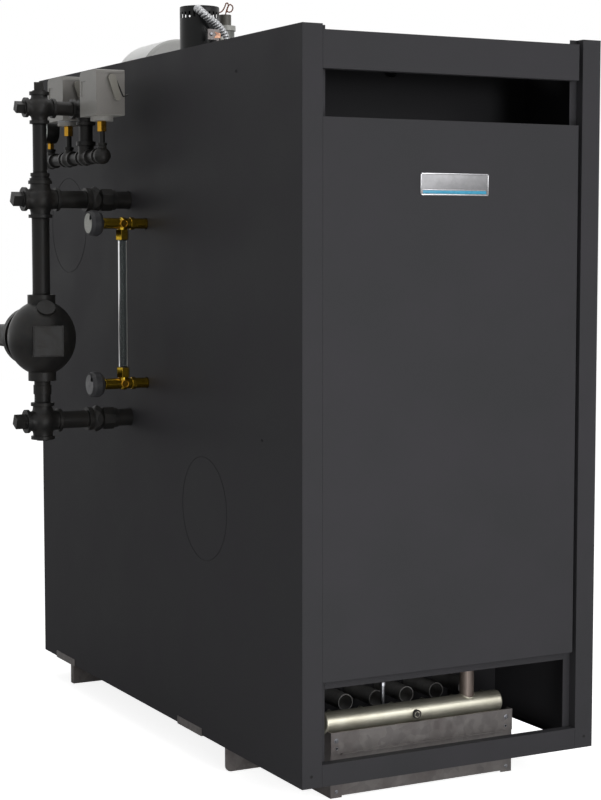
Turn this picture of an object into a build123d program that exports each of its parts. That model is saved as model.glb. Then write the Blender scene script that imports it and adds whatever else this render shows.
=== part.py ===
from build123d import *
import math
import os

os.makedirs("parts", exist_ok=True)

# The frame: millimetres, +X to the boiler's right, +Y to its rear, +Z up.
# The origin is on the floor, in the jacket's middle plane, under the plate of the middle base rail.

# Jacket
JACKET_WIDTH = 740.0
JACKET_DEPTH = 1540.0
JACKET_HEIGHT = 1575.0
FLOOR_GAP = 70.0           # floor to the jacket's lower edge
SHEET = 2.0
POST_WIDTH = 47.0          # the side panels' front flanges
POST_DEPTH = 23.0
STOP_LIP = 18.0            # what the door and rails close against
ROOF_DROP = 11.0           # the roof lies this far below the side panels' top
ROOF_EDGE = 25.0           # the roof's downturned edges
HEM = 14.0
FIT = 0.3                  # clearance between pieces that are fastened together
SHADOW_GAP = 10.0          # the open joint beside the right post

# Front openings, heights above the jacket's lower edge
BOTTOM_RAIL_HEIGHT = 47.0
DOOR_BOTTOM = 221.0
DOOR_TOP_DROP = 186.0      # from the side panels' top to the door's top
TOP_RAIL_HEIGHT = 78.0
SUPPORT_RAIL_HEIGHT = 20.0
SUPPORT_RAIL_LAP = 10.0    # behind the door's lower edge
NAMEPLATE_WIDTH = 170.0
NAMEPLATE_HEIGHT = 47.0
NAMEPLATE_THICKNESS = 2.0
NAMEPLATE_OFFSET = -6.0
NAMEPLATE_DROP = 319.0     # from the side panels' top to the plate's middle

# Round knock-outs pressed in the side panels: depth from the front plane, height from the floor, radius
KNOCKOUTS = ((478.0, 600.0, 120.0), (1320.0, 1250.0, 125.0))
KNOCKOUT_GROOVE = 2.5
KNOCKOUT_GROOVE_DEPTH = 0.8

# Vestibule and inner fronts
VESTIBULE_DEPTH = 283.0
BURNER_PANEL_DEPTH = 389.0
SHELF_HEIGHT = 300.0       # the inner front's lower edge
BURNER_PANEL_RISE = 30.0   # the burner panel's lower edge, above the jacket's

# Base
RAIL_PLATE = 3.0
RAIL_HEIGHT = 240.0
RAIL_WIDTH = 696.0
RAIL_FLANGE = 30.0
RAIL_CORNER = 15.0
MIDDLE_RAIL_DEPTH = 416.0
REAR_RAIL_INSET = 148.0    # from the rear plane
REAR_RAIL_NARROWER = 5.0   # at each end, than the middle rail
REAR_RAIL_FOOT = 20.0
TRAY_DEPTH = 123.0
TRAY_WIDTH = 471.0
TRAY_HEIGHT = 145.0
TRAY_FOOT_HEIGHT = 4.0
TRAY_FOOT_WIDTH = 28.0
REST_FRONT = 20.0          # the manifold rest reaches this far before the manifold
REST_BACK = 12.0           # and this far behind the pilot tube
CHANNEL_HEIGHT = 48.0
CHANNEL_LIP = 8.0
CHANNEL_LIP_INSET = 25.0
CLIP_LENGTH = 135.0
CLIP_HEIGHT = 16.0
CLIP_FRONT_DEPTH = 563.0   # the front clips' middle, from the front plane
CLIP_REAR_INSET = 163.0    # the rear clips' middle, from the rear plane

# Burners and gas
BURNER_COUNT = 6
BURNER_PITCH = 80.3
BURNER_DIAMETER = 38.0
BURNER_WALL = 2.0
BURNER_BORE_DEPTH = 60.0
BURNER_SHIFT = 5.0
BURNER_DEPTH = 272.0
BURNER_HEIGHT = 167.0
MANIFOLD_DIAMETER = 48.3
MANIFOLD_LENGTH = 458.0
MANIFOLD_DEPTH = 160.0
MANIFOLD_HEIGHT = 158.5
MANIFOLD_SHIFT = -8.0
MANIFOLD_ROUNDING = 5.0
PLUG_BOSS_X = -11.0
PLUG_BOSS_DIAMETER = 20.0
PLUG_BOSS_REACH = 5.0
SPUD_DIAMETER = 14.0
SPUD_LENGTH = 22.0
RISER_X = 137.0
RISER_TOP = 620.0
PILOT_DIAMETER = 11.0
PILOT_X = -43.0
PILOT_DEPTH = 230.0
PILOT_TOP = 217.0

# Inside body and flue
BLOCK_WIDTH = 670.0
BLOCK_FRONT_GAP = 12.0
BLOCK_REAR_GAP = 30.0
FLUE_DIAMETER = 252.0
FLUE_WALL = 2.0
FLUE_INSET = 125.0         # its front face, from the rear plane
FLUE_ROUNDING = 12.0
FLUE_HEAD = 20.0           # its closed front, before it is hollow
FLUE_REACH = 60.0          # beyond the rear panel
FLUE_AXIS_UP = 6.0         # above the roof
FLUE_COLLAR_DIAMETER = 250.0
FLUE_COLLAR_LENGTH = 50.0

# Pipe and fitting sizes
PIPE_1_OD = 33.4
PIPE_1_BAND = 47.0
PIPE_1_ARM = 38.0
PIPE_114_OD = 42.2
PIPE_114_BAND = 57.0
PIPE_114_ARM = 44.5
PIPE_34_OD = 26.7
PIPE_34_BAND = 37.0
PIPE_34_ARM = 33.0
PIPE_14_OD = 13.7
BAND_LENGTH = 8.0
NECK_WALL = 2.5            # a fitting's narrowest wall, beside its bands
NECK_FLARE = 4.0           # how much wider the neck is where it meets the body
NECK_HOLLOW = 0.8
CROSS_SWELL = 12.5         # a fitting's round body, outside its pipe
TEE_SWELL = 7.0
PIPE_CLEARANCE = 1.5       # round a pipe where it passes the jacket

# Water column on the left side; depths from the front plane, heights from the floor
COLUMN_STANDOFF = 227.0
COLUMN_DEPTH = 914.0
TOP_CROSS_Z = 1525.0
MIDDLE_CROSS_Z = 1308.0
FLOAT_Z = 976.0
BOTTOM_CROSS_Z = 775.0
FLOAT_RADIUS = 82.0
FLOAT_HALF_HEIGHT = 90.0
FLOAT_HUB_DIAMETER = 67.0
FLOAT_HUB_REACH = 103.5
FLOAT_NECK_RADIUS = 60.0
FLOAT_FLANGE_RADIUS = 72.0
FLOAT_FLANGE_START = 62.0
FLOAT_FLANGE = 10.0
FLOAT_BOSS_PLACE = (-6.6, -49.6, 71.4)
FLOAT_BOSS_AXIS = (-0.15, -0.72, 0.68)
FLOAT_BOSS_DIAMETER = 44.0
FLOAT_BOSS_REACH = 6.0
FLOAT_PAD = 73.0           # the square flat pad for a rating plate, left bare
FLOAT_PAD_TURN = -9.0
FLOAT_PAD_DROP = 4.5
FLOAT_PAD_FACE = 84.0
FLOAT_PAD_FRAME = 2.5
FLOAT_PAD_SUNK = 1.0       # its face inside the frame
SWITCH_NECK_RADIUS = 24.0
SWITCH_NECK_LENGTH = 34.0
SWITCH_BOX = (104.0, 66.0, 54.0)
SWITCH_ROUNDING = 8.0
LOW_NIPPLE_DIAMETER = 39.0
LOW_NIPPLE_RING = 43.5
LOW_NIPPLE_RING_Z = (840.0, 862.0)
BUSHING_STEPS = ((6.0, 50.0), (4.0, 42.0), (8.0, 46.0))    # lengths and diameters, upwards
UNION_START = 125.0        # from the column's centre line
UNION_LENGTH = 65.0
UNION_COLLAR = 12.0
UNION_NUT_FLATS = 57.0
UNION_NUT_LENGTH = 27.0
UNION_NUT_FACE = 50.0      # the nut's round faces, inside its chamfers
UNION_TAIL_FLATS = 53.0
UNION_TAIL_LENGTH = 27.0
UNION_MOUTH = 49.0
PLUG_1_FLATS = 22.0
PLUG_114_FLATS = 26.0
PLUG_COLLAR = 3.0
PLUG_COLLAR_RATIO = 1.45   # a plug's collar against its flats
PLUG_TURN = 20.0
LOW_PLUG_DIAMETER = 30.0

# Controls
CONTROL_STANDOFF = 109.0
CONTROL_Z = 1410.0
FRONT_TEE_OFFSET = -105.0
REAR_TEE_OFFSET = 115.0
GAUGE_TEE_OFFSET = 242.0
TEE_OUTLET_DIAMETER = 19.0
TEE_OUTLET_SPREAD = 30.0   # the outlet's width where it leaves the body
TEE_OUTLET_RISE = 24.0
TEE_OUTLET_RING = 24.0
TEE_OUTLET_TOP = 30.0
RISER_OUTLET_DIAMETER = 38.0
RISER_OUTLET_RISE = 28.0
RUN_PLUG_DIAMETER = 28.0
RUN_PLUG_REACH = 5.0
CONTROL_WIDTH = 71.5
CONTROL_DEPTH = 105.0
CONTROL_HEIGHT = 106.0
CONTROL_ROUNDING = 3.0
CONTROL_CROWN = 11.0       # the cover's rounded rear top edge
CONTROL_SHIFT = 1.2
CONTROL_BOTTOM = 1502.0
CONTROL_BOSS_DIAMETER = 54.0
CONTROL_BOSS_HEIGHT = 11.0
CONTROL_HEX = 20.0
CONTROL_HEX_HEIGHT = 24.0
CONTROL_WINDOW = (30.0, 36.0)
CONTROL_WINDOW_INSET = 9.0     # from the cover's rear edge
CONTROL_WINDOW_RISE = 47.0
CONTROL_WINDOW_DEPTH = 1.5
LEVER_PIVOT = (37.0, 86.0)     # across and up, from the cover's lower left corner
LEVER_END = (51.0, 42.0)
LEVER_PIVOT_RADIUS = 9.5
LEVER_END_RADIUS = 8.0
LEVER_STANDOFF = 4.0
LEVER_THICKNESS = 5.0
POINTER_TOP = (47.5, 88.0)
POINTER_BEND = (67.5, 44.0)
POINTER_TIP = (80.0, 49.0)
POINTER_DIAMETER = 3.0
GAUGE_STEM_HEX = 14.0
GAUGE_RADIUS = 32.0
GAUGE_CASE = 32.0
GAUGE_SHIFT = 12.0         # the case's back, past the control line
GAUGE_RIM = 4.0
GAUGE_RECESS = 3.0
GAUGE_Z = 1487.0

# Gauge glass
GLASS_STANDOFF = 61.0
GLASS_DEPTH = 805.0
GLASS_TOP_Z = 1250.0
GLASS_BOTTOM_Z = 867.0
GLASS_DIAMETER = 20.0
GLASS_WALL = 2.5
GLASS_SEAT = 12.0          # how far the glass enters its packing nuts
COCK_RADIUS = 15.5
COCK_NIPPLE_DIAMETER = 25.0
COCK_HEX = 26.0
COCK_HEX_START = 20.0
COCK_HEX_LENGTH = 10.0
COCK_STEM_DIAMETER = 24.0
PACKING_HEX = 28.0
PACKING_NUT = 24.0
PACKING_REACH = 39.0
BONNET_DIAMETER = 26.0
BONNET_EDGE = 2.0
BONNET_REACH = 51.0
STEM_DIAMETER = 10.0
STEM_CLEARANCE = 0.06
STEM_DEPTH = 14.0
KNOB_DIAMETER = 61.0
KNOB_MOUTH_DIAMETER = 56.0
KNOB_SWELL = 8.0           # from its mouth to its full width
KNOB_THICKNESS = 31.0
KNOB_RIM = 4.0
KNOB_EDGE = 1.5
KNOB_TAPER_START = 22.0
KNOB_BACK_DIAMETER = 52.0
KNOB_DISH = 13.0
KNOB_HUB_DIAMETER = 17.0
KNOB_HUB_DROP = 5.0
KNOB_GAP = 5.0

# Roof fittings
CAN_DIAMETER = 95.6
CAN_HEIGHT = 137.0
CAN_FLOOR = 20.0
CAN_WALL = 2.0
CAN_X = -225.0
CAN_DEPTH = 806.0
CAN_SLOTS = 24
CAN_SLOT_PHASE = 2.2
CAN_EXIT_ANGLE = 241.0
CAN_EXIT_DROP = 10.5
CAN_EXIT_COLLAR = 5.0
CAN_EXIT_DIAMETER = 20.0
CAN_SLOT_HEIGHT = 11.0
CAN_SLOT_WIDTH = 4.0
CAN_SLOT_DROP = 24.0
RELIEF_X = -141.0
RELIEF_BEHIND_CAN = 33.0
RELIEF_HEX = 42.0
RELIEF_HEX_HEIGHT = 18.0
RELIEF_SHOULDER = 3.0      # its band and its waist, outside and inside the body's radius
RELIEF_BODY_DIAMETER = 49.0
RELIEF_BODY_HEIGHT = 88.0
RELIEF_BAND_HEIGHT = 12.0
RELIEF_CAP_DIAMETER = 30.5
RELIEF_CAP_HEIGHT = 27.0
JUNCTION_X = -193.0
JUNCTION_BEFORE_CAN = 74.0
JUNCTION_SIZE = (46.0, 36.0, 30.0)
JUNCTION_ROUNDING = 4.0
CONNECTOR_SHIFT = 3.5
CONNECTOR_DIAMETER = 22.0
CONNECTOR_HEIGHT = 12.0
BRACKET_X = -246.7         # the bracket plate's left edge
BRACKET_WIDTH = 31.5
BRACKET_LOW = 51.0         # the plate's edges, above the roof
BRACKET_TOP = 75.5
BRACKET_LEG = 9.0
BRACKET_FOOT = 12.0
CONDUIT_DIAMETER = 18.0
SEAL_WIRE_DIAMETER = 2.6
SEAL_WIRE_LAYER = 2.5      # the loops lie this far before and behind the valve's middle

# Derived places
LEFT = -JACKET_WIDTH / 2
RIGHT = JACKET_WIDTH / 2
FRONT = -MIDDLE_RAIL_DEPTH - RAIL_PLATE / 2
REAR = FRONT + JACKET_DEPTH
LOW = FLOOR_GAP
TOP = FLOOR_GAP + JACKET_HEIGHT
ROOF = TOP - ROOF_DROP
LIP_FACE = FRONT + POST_DEPTH
OPENING = RIGHT - POST_WIDTH
COLUMN_X = LEFT - COLUMN_STANDOFF
COLUMN_Y = FRONT + COLUMN_DEPTH
CONTROL_X = LEFT - CONTROL_STANDOFF
CONTROL_HEX_TOP = CONTROL_BOTTOM - CONTROL_BOSS_HEIGHT - FIT
CONTROL_HEX_LOW = CONTROL_HEX_TOP - CONTROL_HEX_HEIGHT
GLASS_X = LEFT - GLASS_STANDOFF
GLASS_Y = FRONT + GLASS_DEPTH
BLOCK_SIDE = -BLOCK_WIDTH / 2
BLOCK_FRONT = FRONT + BURNER_PANEL_DEPTH + SHEET + BLOCK_FRONT_GAP
BLOCK_BACK = REAR - SHEET - BLOCK_REAR_GAP
FLUE_Z = ROOF + FLUE_AXIS_UP
BLOCK_TOP = FLUE_Z - FLUE_DIAMETER / 2 - FIT
MIDDLE_RAIL_Y = FRONT + MIDDLE_RAIL_DEPTH
REAR_RAIL_Y = REAR - REAR_RAIL_INSET
FLUE_Y = REAR - FLUE_INSET
TRAY_Y = FRONT + TRAY_DEPTH
MANIFOLD_Y = FRONT + MANIFOLD_DEPTH
BURNER_Y = FRONT + BURNER_DEPTH
FRONT_TEE_Y = COLUMN_Y + FRONT_TEE_OFFSET
REAR_TEE_Y = COLUMN_Y + REAR_TEE_OFFSET
GAUGE_TEE_Y = COLUMN_Y + GAUGE_TEE_OFFSET
CAN_Y = FRONT + CAN_DEPTH
RELIEF_Y = CAN_Y + RELIEF_BEHIND_CAN
JUNCTION_Y = CAN_Y - JUNCTION_BEFORE_CAN
CONNECTOR_X = JUNCTION_X + CONNECTOR_SHIFT


def slab(x0, x1, y0, y1, z0, z1):
    centre = ((x0 + x1) / 2, (y0 + y1) / 2, (z0 + z1) / 2)
    return Pos(*centre) * Box(x1 - x0, y1 - y0, z1 - z0)


def along(start, end):
    # A plane at the start, facing the end, for round and six-sided bars
    start = Vector(*start)
    direction = (Vector(*end) - start).normalized()
    side = Vector(0, 0, 1) if abs(direction.Z) < 0.9 else Vector(1, 0, 0)
    return Plane(origin=start, x_dir=side, z_dir=direction)


def bar(start, end, diameter):
    length = (Vector(*end) - Vector(*start)).length
    return extrude(along(start, end) * Circle(diameter / 2), length)


def prism(start, end, flats, sides=6, turn=0.0):
    # A bar with flat sides, measured across its flats
    length = (Vector(*end) - Vector(*start)).length
    corner = flats / 2 / math.cos(math.pi / sides)
    return extrude(along(start, end) * RegularPolygon(corner, sides, rotation=turn), length)


def side_panel():
    # The left one: skin, hollow front post with its stop lip, rear and lower flanges, top hem
    post = LEFT + POST_WIDTH
    outline = [
        (LEFT, FRONT), (post, FRONT), (post, LIP_FACE), (post + STOP_LIP, LIP_FACE),
        (post + STOP_LIP, LIP_FACE + SHEET), (post - SHEET, LIP_FACE + SHEET),
        (post - SHEET, FRONT + SHEET), (LEFT + SHEET, FRONT + SHEET),
        (LEFT + SHEET, REAR - SHEET), (LEFT + HEM, REAR - SHEET), (LEFT + HEM, REAR), (LEFT, REAR),
    ]
    wall = extrude(Pos(0, 0, LOW) * make_face(Polyline(*outline, close=True)), JACKET_HEIGHT)
    hem = slab(LEFT, LEFT + HEM, FRONT, REAR, TOP - SHEET, TOP)
    cap = slab(LEFT, post, FRONT, LIP_FACE + SHEET, TOP - SHEET, TOP)
    foot = slab(LEFT, LEFT + HEM, LIP_FACE, REAR, LOW, LOW + SHEET)
    panel = wall + hem + cap + foot
    for depth, height, radius in KNOCKOUTS:
        outside = (LEFT - 1, FRONT + depth, height)
        groove_floor = (LEFT + KNOCKOUT_GROOVE_DEPTH, FRONT + depth, height)
        inner = 2 * (radius - KNOCKOUT_GROOVE)
        panel -= bar(outside, groove_floor, 2 * radius) - bar(outside, groove_floor, inner)
    return panel


def pipe_holes():
    holes = []
    for height in (MIDDLE_CROSS_Z, BOTTOM_CROSS_Z):
        holes.append(bar((LEFT - 1, COLUMN_Y, height), (LEFT + HEM, COLUMN_Y, height),
                         PIPE_114_OD + 2 * PIPE_CLEARANCE))
    for height in (GLASS_TOP_Z, GLASS_BOTTOM_Z):
        holes.append(bar((LEFT - 1, GLASS_Y, height), (LEFT + HEM, GLASS_Y, height),
                         COCK_NIPPLE_DIAMETER + 2 * PIPE_CLEARANCE))
    return holes


def channel(x0, x1, z0, z1):
    # A front rail or door: face sheet with returns that reach back to the stop lips
    body = slab(x0, x1, FRONT, LIP_FACE - FIT, z0, z1)
    hollow = slab(x0 + SHEET, x1 - SHEET, FRONT + SHEET, LIP_FACE, z0 + SHEET, z1 - SHEET)
    return body - hollow


def roof_panel():
    inner = RIGHT - SHEET - FIT
    # It starts behind the top rail and closes down on the inner front
    sheet = slab(-inner, inner, LIP_FACE + SHEET + FIT, REAR - SHEET - FIT, ROOF - SHEET, ROOF)
    edge_front = FRONT + VESTIBULE_DEPTH + SHEET + FIT
    edges = slab(-inner, -inner + SHEET, edge_front, REAR - 2 * (SHEET + FIT), ROOF - ROOF_EDGE, ROOF)
    edges += mirror(edges, about=Plane.YZ)
    half = FLUE_DIAMETER / 2 + FIT
    return sheet + edges - slab(-half, half, FLUE_Y - FIT, REAR, ROOF - ROOF_EDGE, ROOF + 1)


def rear_panel():
    inner = RIGHT - SHEET - FIT
    sheet = slab(-inner, inner, REAR - 2 * SHEET - FIT, REAR - SHEET - FIT, LOW + SHEET + FIT, ROOF - SHEET - FIT)
    notch = bar((0, REAR - 40, FLUE_Z), (0, REAR + 5, FLUE_Z), FLUE_DIAMETER + 2 * FIT)
    return sheet - notch


def inner_front():
    inner = RIGHT - SHEET - FIT
    y = FRONT + VESTIBULE_DEPTH
    back = FRONT + BURNER_PANEL_DEPTH + SHEET
    low = LOW + SHELF_HEIGHT
    face = slab(-inner, inner, y, y + SHEET, low, ROOF - SHEET - FIT)
    shelf = slab(-inner, inner, y, back, low, low + SHEET)
    return face + shelf


def burner_panel():
    inner = RIGHT - SHEET - FIT
    y = FRONT + BURNER_PANEL_DEPTH
    sheet = slab(-inner, inner, y, y + SHEET, LOW + BURNER_PANEL_RISE, LOW + SHELF_HEIGHT - FIT)
    slot = slab(-TRAY_WIDTH / 2 - FIT, -TRAY_WIDTH / 2 + RAIL_PLATE + FIT, y - 5, y + 5, LOW, TRAY_HEIGHT + FIT)
    sheet -= slot + mirror(slot, about=Plane.YZ)
    return sheet - burner_bars(y - 5, y + 10, BURNER_DIAMETER + 2 * FIT)


def burner_bars(y0, y1, diameter):
    bars = []
    for index in range(BURNER_COUNT):
        x = BURNER_SHIFT + (index - (BURNER_COUNT - 1) / 2) * BURNER_PITCH
        bars.append(bar((x, y0, BURNER_HEIGHT), (x, y1, BURNER_HEIGHT), diameter))
    return bars


def burners():
    tubes = Compound(burner_bars(BURNER_Y, REAR_RAIL_Y - FIT, BURNER_DIAMETER))
    return tubes - burner_bars(BURNER_Y - 1, BURNER_Y + BURNER_BORE_DEPTH, BURNER_DIAMETER - 2 * BURNER_WALL)


def manifold():
    half = MANIFOLD_LENGTH / 2
    pipe = bar((MANIFOLD_SHIFT - half, MANIFOLD_Y, MANIFOLD_HEIGHT),
               (MANIFOLD_SHIFT + half, MANIFOLD_Y, MANIFOLD_HEIGHT), MANIFOLD_DIAMETER)
    pipe = fillet(pipe.edges().filter_by(GeomType.CIRCLE), MANIFOLD_ROUNDING)
    for spud in burner_bars(MANIFOLD_Y, MANIFOLD_Y + MANIFOLD_DIAMETER / 2 + SPUD_LENGTH, SPUD_DIAMETER):
        pipe += spud
    boss_face = MANIFOLD_Y - MANIFOLD_DIAMETER / 2 - PLUG_BOSS_REACH
    plug = bar((PLUG_BOSS_X, boss_face, MANIFOLD_HEIGHT), (PLUG_BOSS_X, MANIFOLD_Y, MANIFOLD_HEIGHT),
               PLUG_BOSS_DIAMETER)
    return pipe + plug


def riser():
    # Welded on the manifold, up behind the door, then back through an elbow to the inner front
    foot = (RISER_X, MANIFOLD_Y, MANIFOLD_HEIGHT)
    upright = bar(foot, (RISER_X, MANIFOLD_Y, RISER_TOP - PIPE_1_ARM), PIPE_1_OD)
    upright -= level(MANIFOLD_Y, MANIFOLD_HEIGHT, RISER_X - PIPE_1_OD, RISER_X + PIPE_1_OD,
                     MANIFOLD_DIAMETER + 2 * FIT)
    upright = upright.solids().sort_by(Axis.Z)[-1]
    arms = ((0, 0, -1), (0, 1, 0))
    elbow = fitting((RISER_X, MANIFOLD_Y, RISER_TOP), arms, PIPE_1_OD, PIPE_1_BAND, PIPE_1_ARM, TEE_SWELL)
    wall = FRONT + VESTIBULE_DEPTH - FIT
    nipple = bar((RISER_X, MANIFOLD_Y + PIPE_1_ARM, RISER_TOP), (RISER_X, wall, RISER_TOP), PIPE_1_OD)
    return upright + elbow + nipple


def fitting(centre, arms, pipe, band, reach, swell):
    # A malleable-iron fitting: round body, arms that narrow to the neck, a band at each mouth
    body_radius = pipe / 2 + swell
    neck = pipe / 2 + NECK_WALL
    root = neck + NECK_FLARE
    centre = Vector(*centre)
    body = Pos(centre) * Sphere(body_radius)
    for arm in arms:
        plane = Plane(origin=centre, z_dir=Vector(*arm))
        flare = math.sqrt(body_radius ** 2 - root ** 2)
        waist = reach - BAND_LENGTH
        profile = Polyline((0, 0), (root, 0), (root, flare))
        profile += ThreePointArc((root, flare), (neck + NECK_HOLLOW, (flare + waist) / 2), (neck, waist))
        profile += Polyline((neck, waist), (band / 2, waist), (band / 2, reach), (0, reach), (0, 0))
        section = make_face(Plane.XZ * profile)
        body += plane * revolve(section, Axis.Z)
    return body


def jacket_clips():
    clips = []
    for middle in (FRONT + CLIP_FRONT_DEPTH, REAR - CLIP_REAR_INSET):
        for side in (-1, 1):
            y0 = middle - CLIP_LENGTH / 2
            face = side * RIGHT
            outer = side * (RIGHT + SHEET)
            inner = side * (RIGHT - HEM)
            low = LOW - SHEET - FIT
            leg = slab(min(face, outer), max(face, outer), y0, y0 + CLIP_LENGTH, low, LOW + CLIP_HEIGHT)
            foot = slab(min(inner, outer), max(inner, outer), y0, y0 + CLIP_LENGTH, low, low + SHEET)
            clips.append(leg + foot)
    return Compound(clips)


def cross_rail(y, inward):
    # A base plate across the boiler: top flange, foot flange, rounded lower corners
    half = RAIL_WIDTH / 2
    plate = Pos(0, y + RAIL_PLATE / 2, RAIL_HEIGHT / 2) * Box(RAIL_WIDTH, RAIL_PLATE, RAIL_HEIGHT)
    low_corners = plate.edges().filter_by(Axis.Y).group_by(Axis.Z)[0]
    plate = fillet(low_corners, RAIL_CORNER)
    y0 = min(y, y + inward * RAIL_FLANGE)
    y1 = max(y, y + inward * RAIL_FLANGE)
    flange = slab(-half, half, y0, y1, RAIL_HEIGHT - RAIL_PLATE, RAIL_HEIGHT)
    foot = slab(-half + RAIL_CORNER, half - RAIL_CORNER, y0, y1, 0, RAIL_PLATE)
    return plate + flange + foot


def middle_rail():
    rail = cross_rail(MIDDLE_RAIL_Y, 1)
    return rail - burner_bars(MIDDLE_RAIL_Y - 5, MIDDLE_RAIL_Y + 10, BURNER_DIAMETER + 2 * FIT)


def rear_rail():
    half = RAIL_WIDTH / 2 - REAR_RAIL_NARROWER
    plate = slab(-half, half, REAR_RAIL_Y, REAR_RAIL_Y + RAIL_PLATE, 0, RAIL_HEIGHT)
    flange = slab(-half, half, REAR_RAIL_Y, REAR_RAIL_Y + RAIL_FLANGE, RAIL_HEIGHT - RAIL_PLATE, RAIL_HEIGHT)
    ends = slab(-half, -half + RAIL_PLATE, REAR_RAIL_Y, REAR_RAIL_Y + REAR_RAIL_FOOT, 0, RAIL_HEIGHT)
    ends += mirror(ends, about=Plane.YZ)
    foot = slab(-half, half, REAR_RAIL_Y, REAR_RAIL_Y + REAR_RAIL_FOOT, 0, RAIL_PLATE)
    return plate + flange + ends + foot


def tray():
    # The front of the base: face plate on two feet, sides back to the middle rail, manifold rest
    half = TRAY_WIDTH / 2
    back = MIDDLE_RAIL_Y - FIT
    face = slab(-half, half, TRAY_Y, TRAY_Y + RAIL_PLATE, 0, TRAY_HEIGHT)
    face -= slab(-half + TRAY_FOOT_WIDTH, half - TRAY_FOOT_WIDTH, TRAY_Y - 1, TRAY_Y + 5, 0, TRAY_FOOT_HEIGHT)
    side = slab(-half, -half + RAIL_PLATE, TRAY_Y, back, 0, TRAY_HEIGHT)
    # The manifold lies in a round notch of each side
    cradle = MANIFOLD_DIAMETER + 2 * FIT
    inside = -half + 2 * RAIL_PLATE
    side -= bar((-half - 1, MANIFOLD_Y, MANIFOLD_HEIGHT), (inside, MANIFOLD_Y, MANIFOLD_HEIGHT), cradle)
    seat = MANIFOLD_HEIGHT - MANIFOLD_DIAMETER / 2
    rest_back = FRONT + PILOT_DEPTH + REST_BACK
    rest = slab(-half, half, MANIFOLD_Y - REST_FRONT, rest_back, seat - FIT - RAIL_PLATE, seat - FIT)
    return face + side + mirror(side, about=Plane.YZ) + rest


def tray_channel():
    half = TRAY_WIDTH / 2
    y = TRAY_Y - FIT
    z0 = TRAY_HEIGHT - CHANNEL_HEIGHT
    web = slab(-half, half, y - SHEET, y, z0, TRAY_HEIGHT)
    lip = slab(-half + CHANNEL_LIP_INSET, half - CHANNEL_LIP_INSET, y - CHANNEL_LIP, y, z0, z0 + SHEET)
    return web + lip


def boiler_block():
    return slab(BLOCK_SIDE, -BLOCK_SIDE, BLOCK_FRONT, BLOCK_BACK, RAIL_HEIGHT, BLOCK_TOP)


def flue():
    y0 = FLUE_Y
    y1 = REAR + FLUE_REACH
    drum = bar((0, y0, FLUE_Z), (0, y1 - FLUE_COLLAR_LENGTH, FLUE_Z), FLUE_DIAMETER)
    front_rim = drum.edges().filter_by(GeomType.CIRCLE).sort_by(Axis.Y)[0]
    drum = fillet(front_rim, FLUE_ROUNDING)
    drum += bar((0, y0 + FLUE_HEAD, FLUE_Z), (0, y1, FLUE_Z), FLUE_COLLAR_DIAMETER)
    inside = bar((0, y0 + FLUE_HEAD, FLUE_Z), (0, y1 + 1, FLUE_Z), FLUE_COLLAR_DIAMETER - 2 * FLUE_WALL)
    return drum - inside


def plug(face, direction, flats, length, turn):
    start = Vector(*face)
    way = Vector(*direction)
    collar = bar(start, start + way * PLUG_COLLAR, flats * PLUG_COLLAR_RATIO)
    head = prism(start + way * PLUG_COLLAR, start + way * length, flats, 4, turn)
    return collar + head


def cross_plugs():
    left = (-1, 0, 0)
    top_face = (COLUMN_X, COLUMN_Y, TOP_CROSS_Z + PIPE_1_ARM)
    low_face = (COLUMN_X, COLUMN_Y, BOTTOM_CROSS_Z - PIPE_114_ARM)
    arm_end = COLUMN_X - PIPE_114_ARM
    plugs = [
        plug(top_face, (0, 0, 1), PLUG_1_FLATS, PLUG_1_FLATS, PLUG_TURN),
        plug((COLUMN_X - PIPE_1_ARM, COLUMN_Y, TOP_CROSS_Z), left, PLUG_1_FLATS, PLUG_1_FLATS, PLUG_TURN),
        plug((arm_end, COLUMN_Y, MIDDLE_CROSS_Z), left, PLUG_114_FLATS, PLUG_114_FLATS, PLUG_TURN),
        plug((arm_end, COLUMN_Y, BOTTOM_CROSS_Z), left, PLUG_114_FLATS, PLUG_114_FLATS, PLUG_TURN),
        bar(low_face, (COLUMN_X, COLUMN_Y, low_face[2] - PLUG_COLLAR), LOW_PLUG_DIAMETER),
    ]
    return Compound(plugs)


def crosses():
    four = ((1, 0, 0), (-1, 0, 0), (0, 0, 1), (0, 0, -1))
    large = (four, PIPE_114_OD, PIPE_114_BAND, PIPE_114_ARM, CROSS_SWELL)
    top = fitting((COLUMN_X, COLUMN_Y, TOP_CROSS_Z), four, PIPE_1_OD, PIPE_1_BAND, PIPE_1_ARM, CROSS_SWELL)
    middle = fitting((COLUMN_X, COLUMN_Y, MIDDLE_CROSS_Z), *large)
    bottom = fitting((COLUMN_X, COLUMN_Y, BOTTOM_CROSS_Z), *large)
    return top, middle, bottom


def column_pipes():
    def upright(z0, z1, diameter):
        return bar((COLUMN_X, COLUMN_Y, z0), (COLUMN_X, COLUMN_Y, z1), diameter)

    mouth = MIDDLE_CROSS_Z + PIPE_114_ARM
    upper = upright(mouth, TOP_CROSS_Z - PIPE_1_ARM, PIPE_1_OD)
    for length, diameter in BUSHING_STEPS:
        upper += upright(mouth, mouth + length, diameter)
        mouth += length
    main = upright(FLOAT_Z + FLOAT_HUB_REACH, MIDDLE_CROSS_Z - PIPE_114_ARM, PIPE_114_OD)
    low = upright(BOTTOM_CROSS_Z + PIPE_114_ARM, FLOAT_Z - FLOAT_HUB_REACH, LOW_NIPPLE_DIAMETER)
    low += upright(*LOW_NIPPLE_RING_Z, LOW_NIPPLE_RING)
    return upper, main, low


def level(y, z, x0, x1, diameter):
    return bar((x0, y, z), (x1, y, z), diameter)


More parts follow.
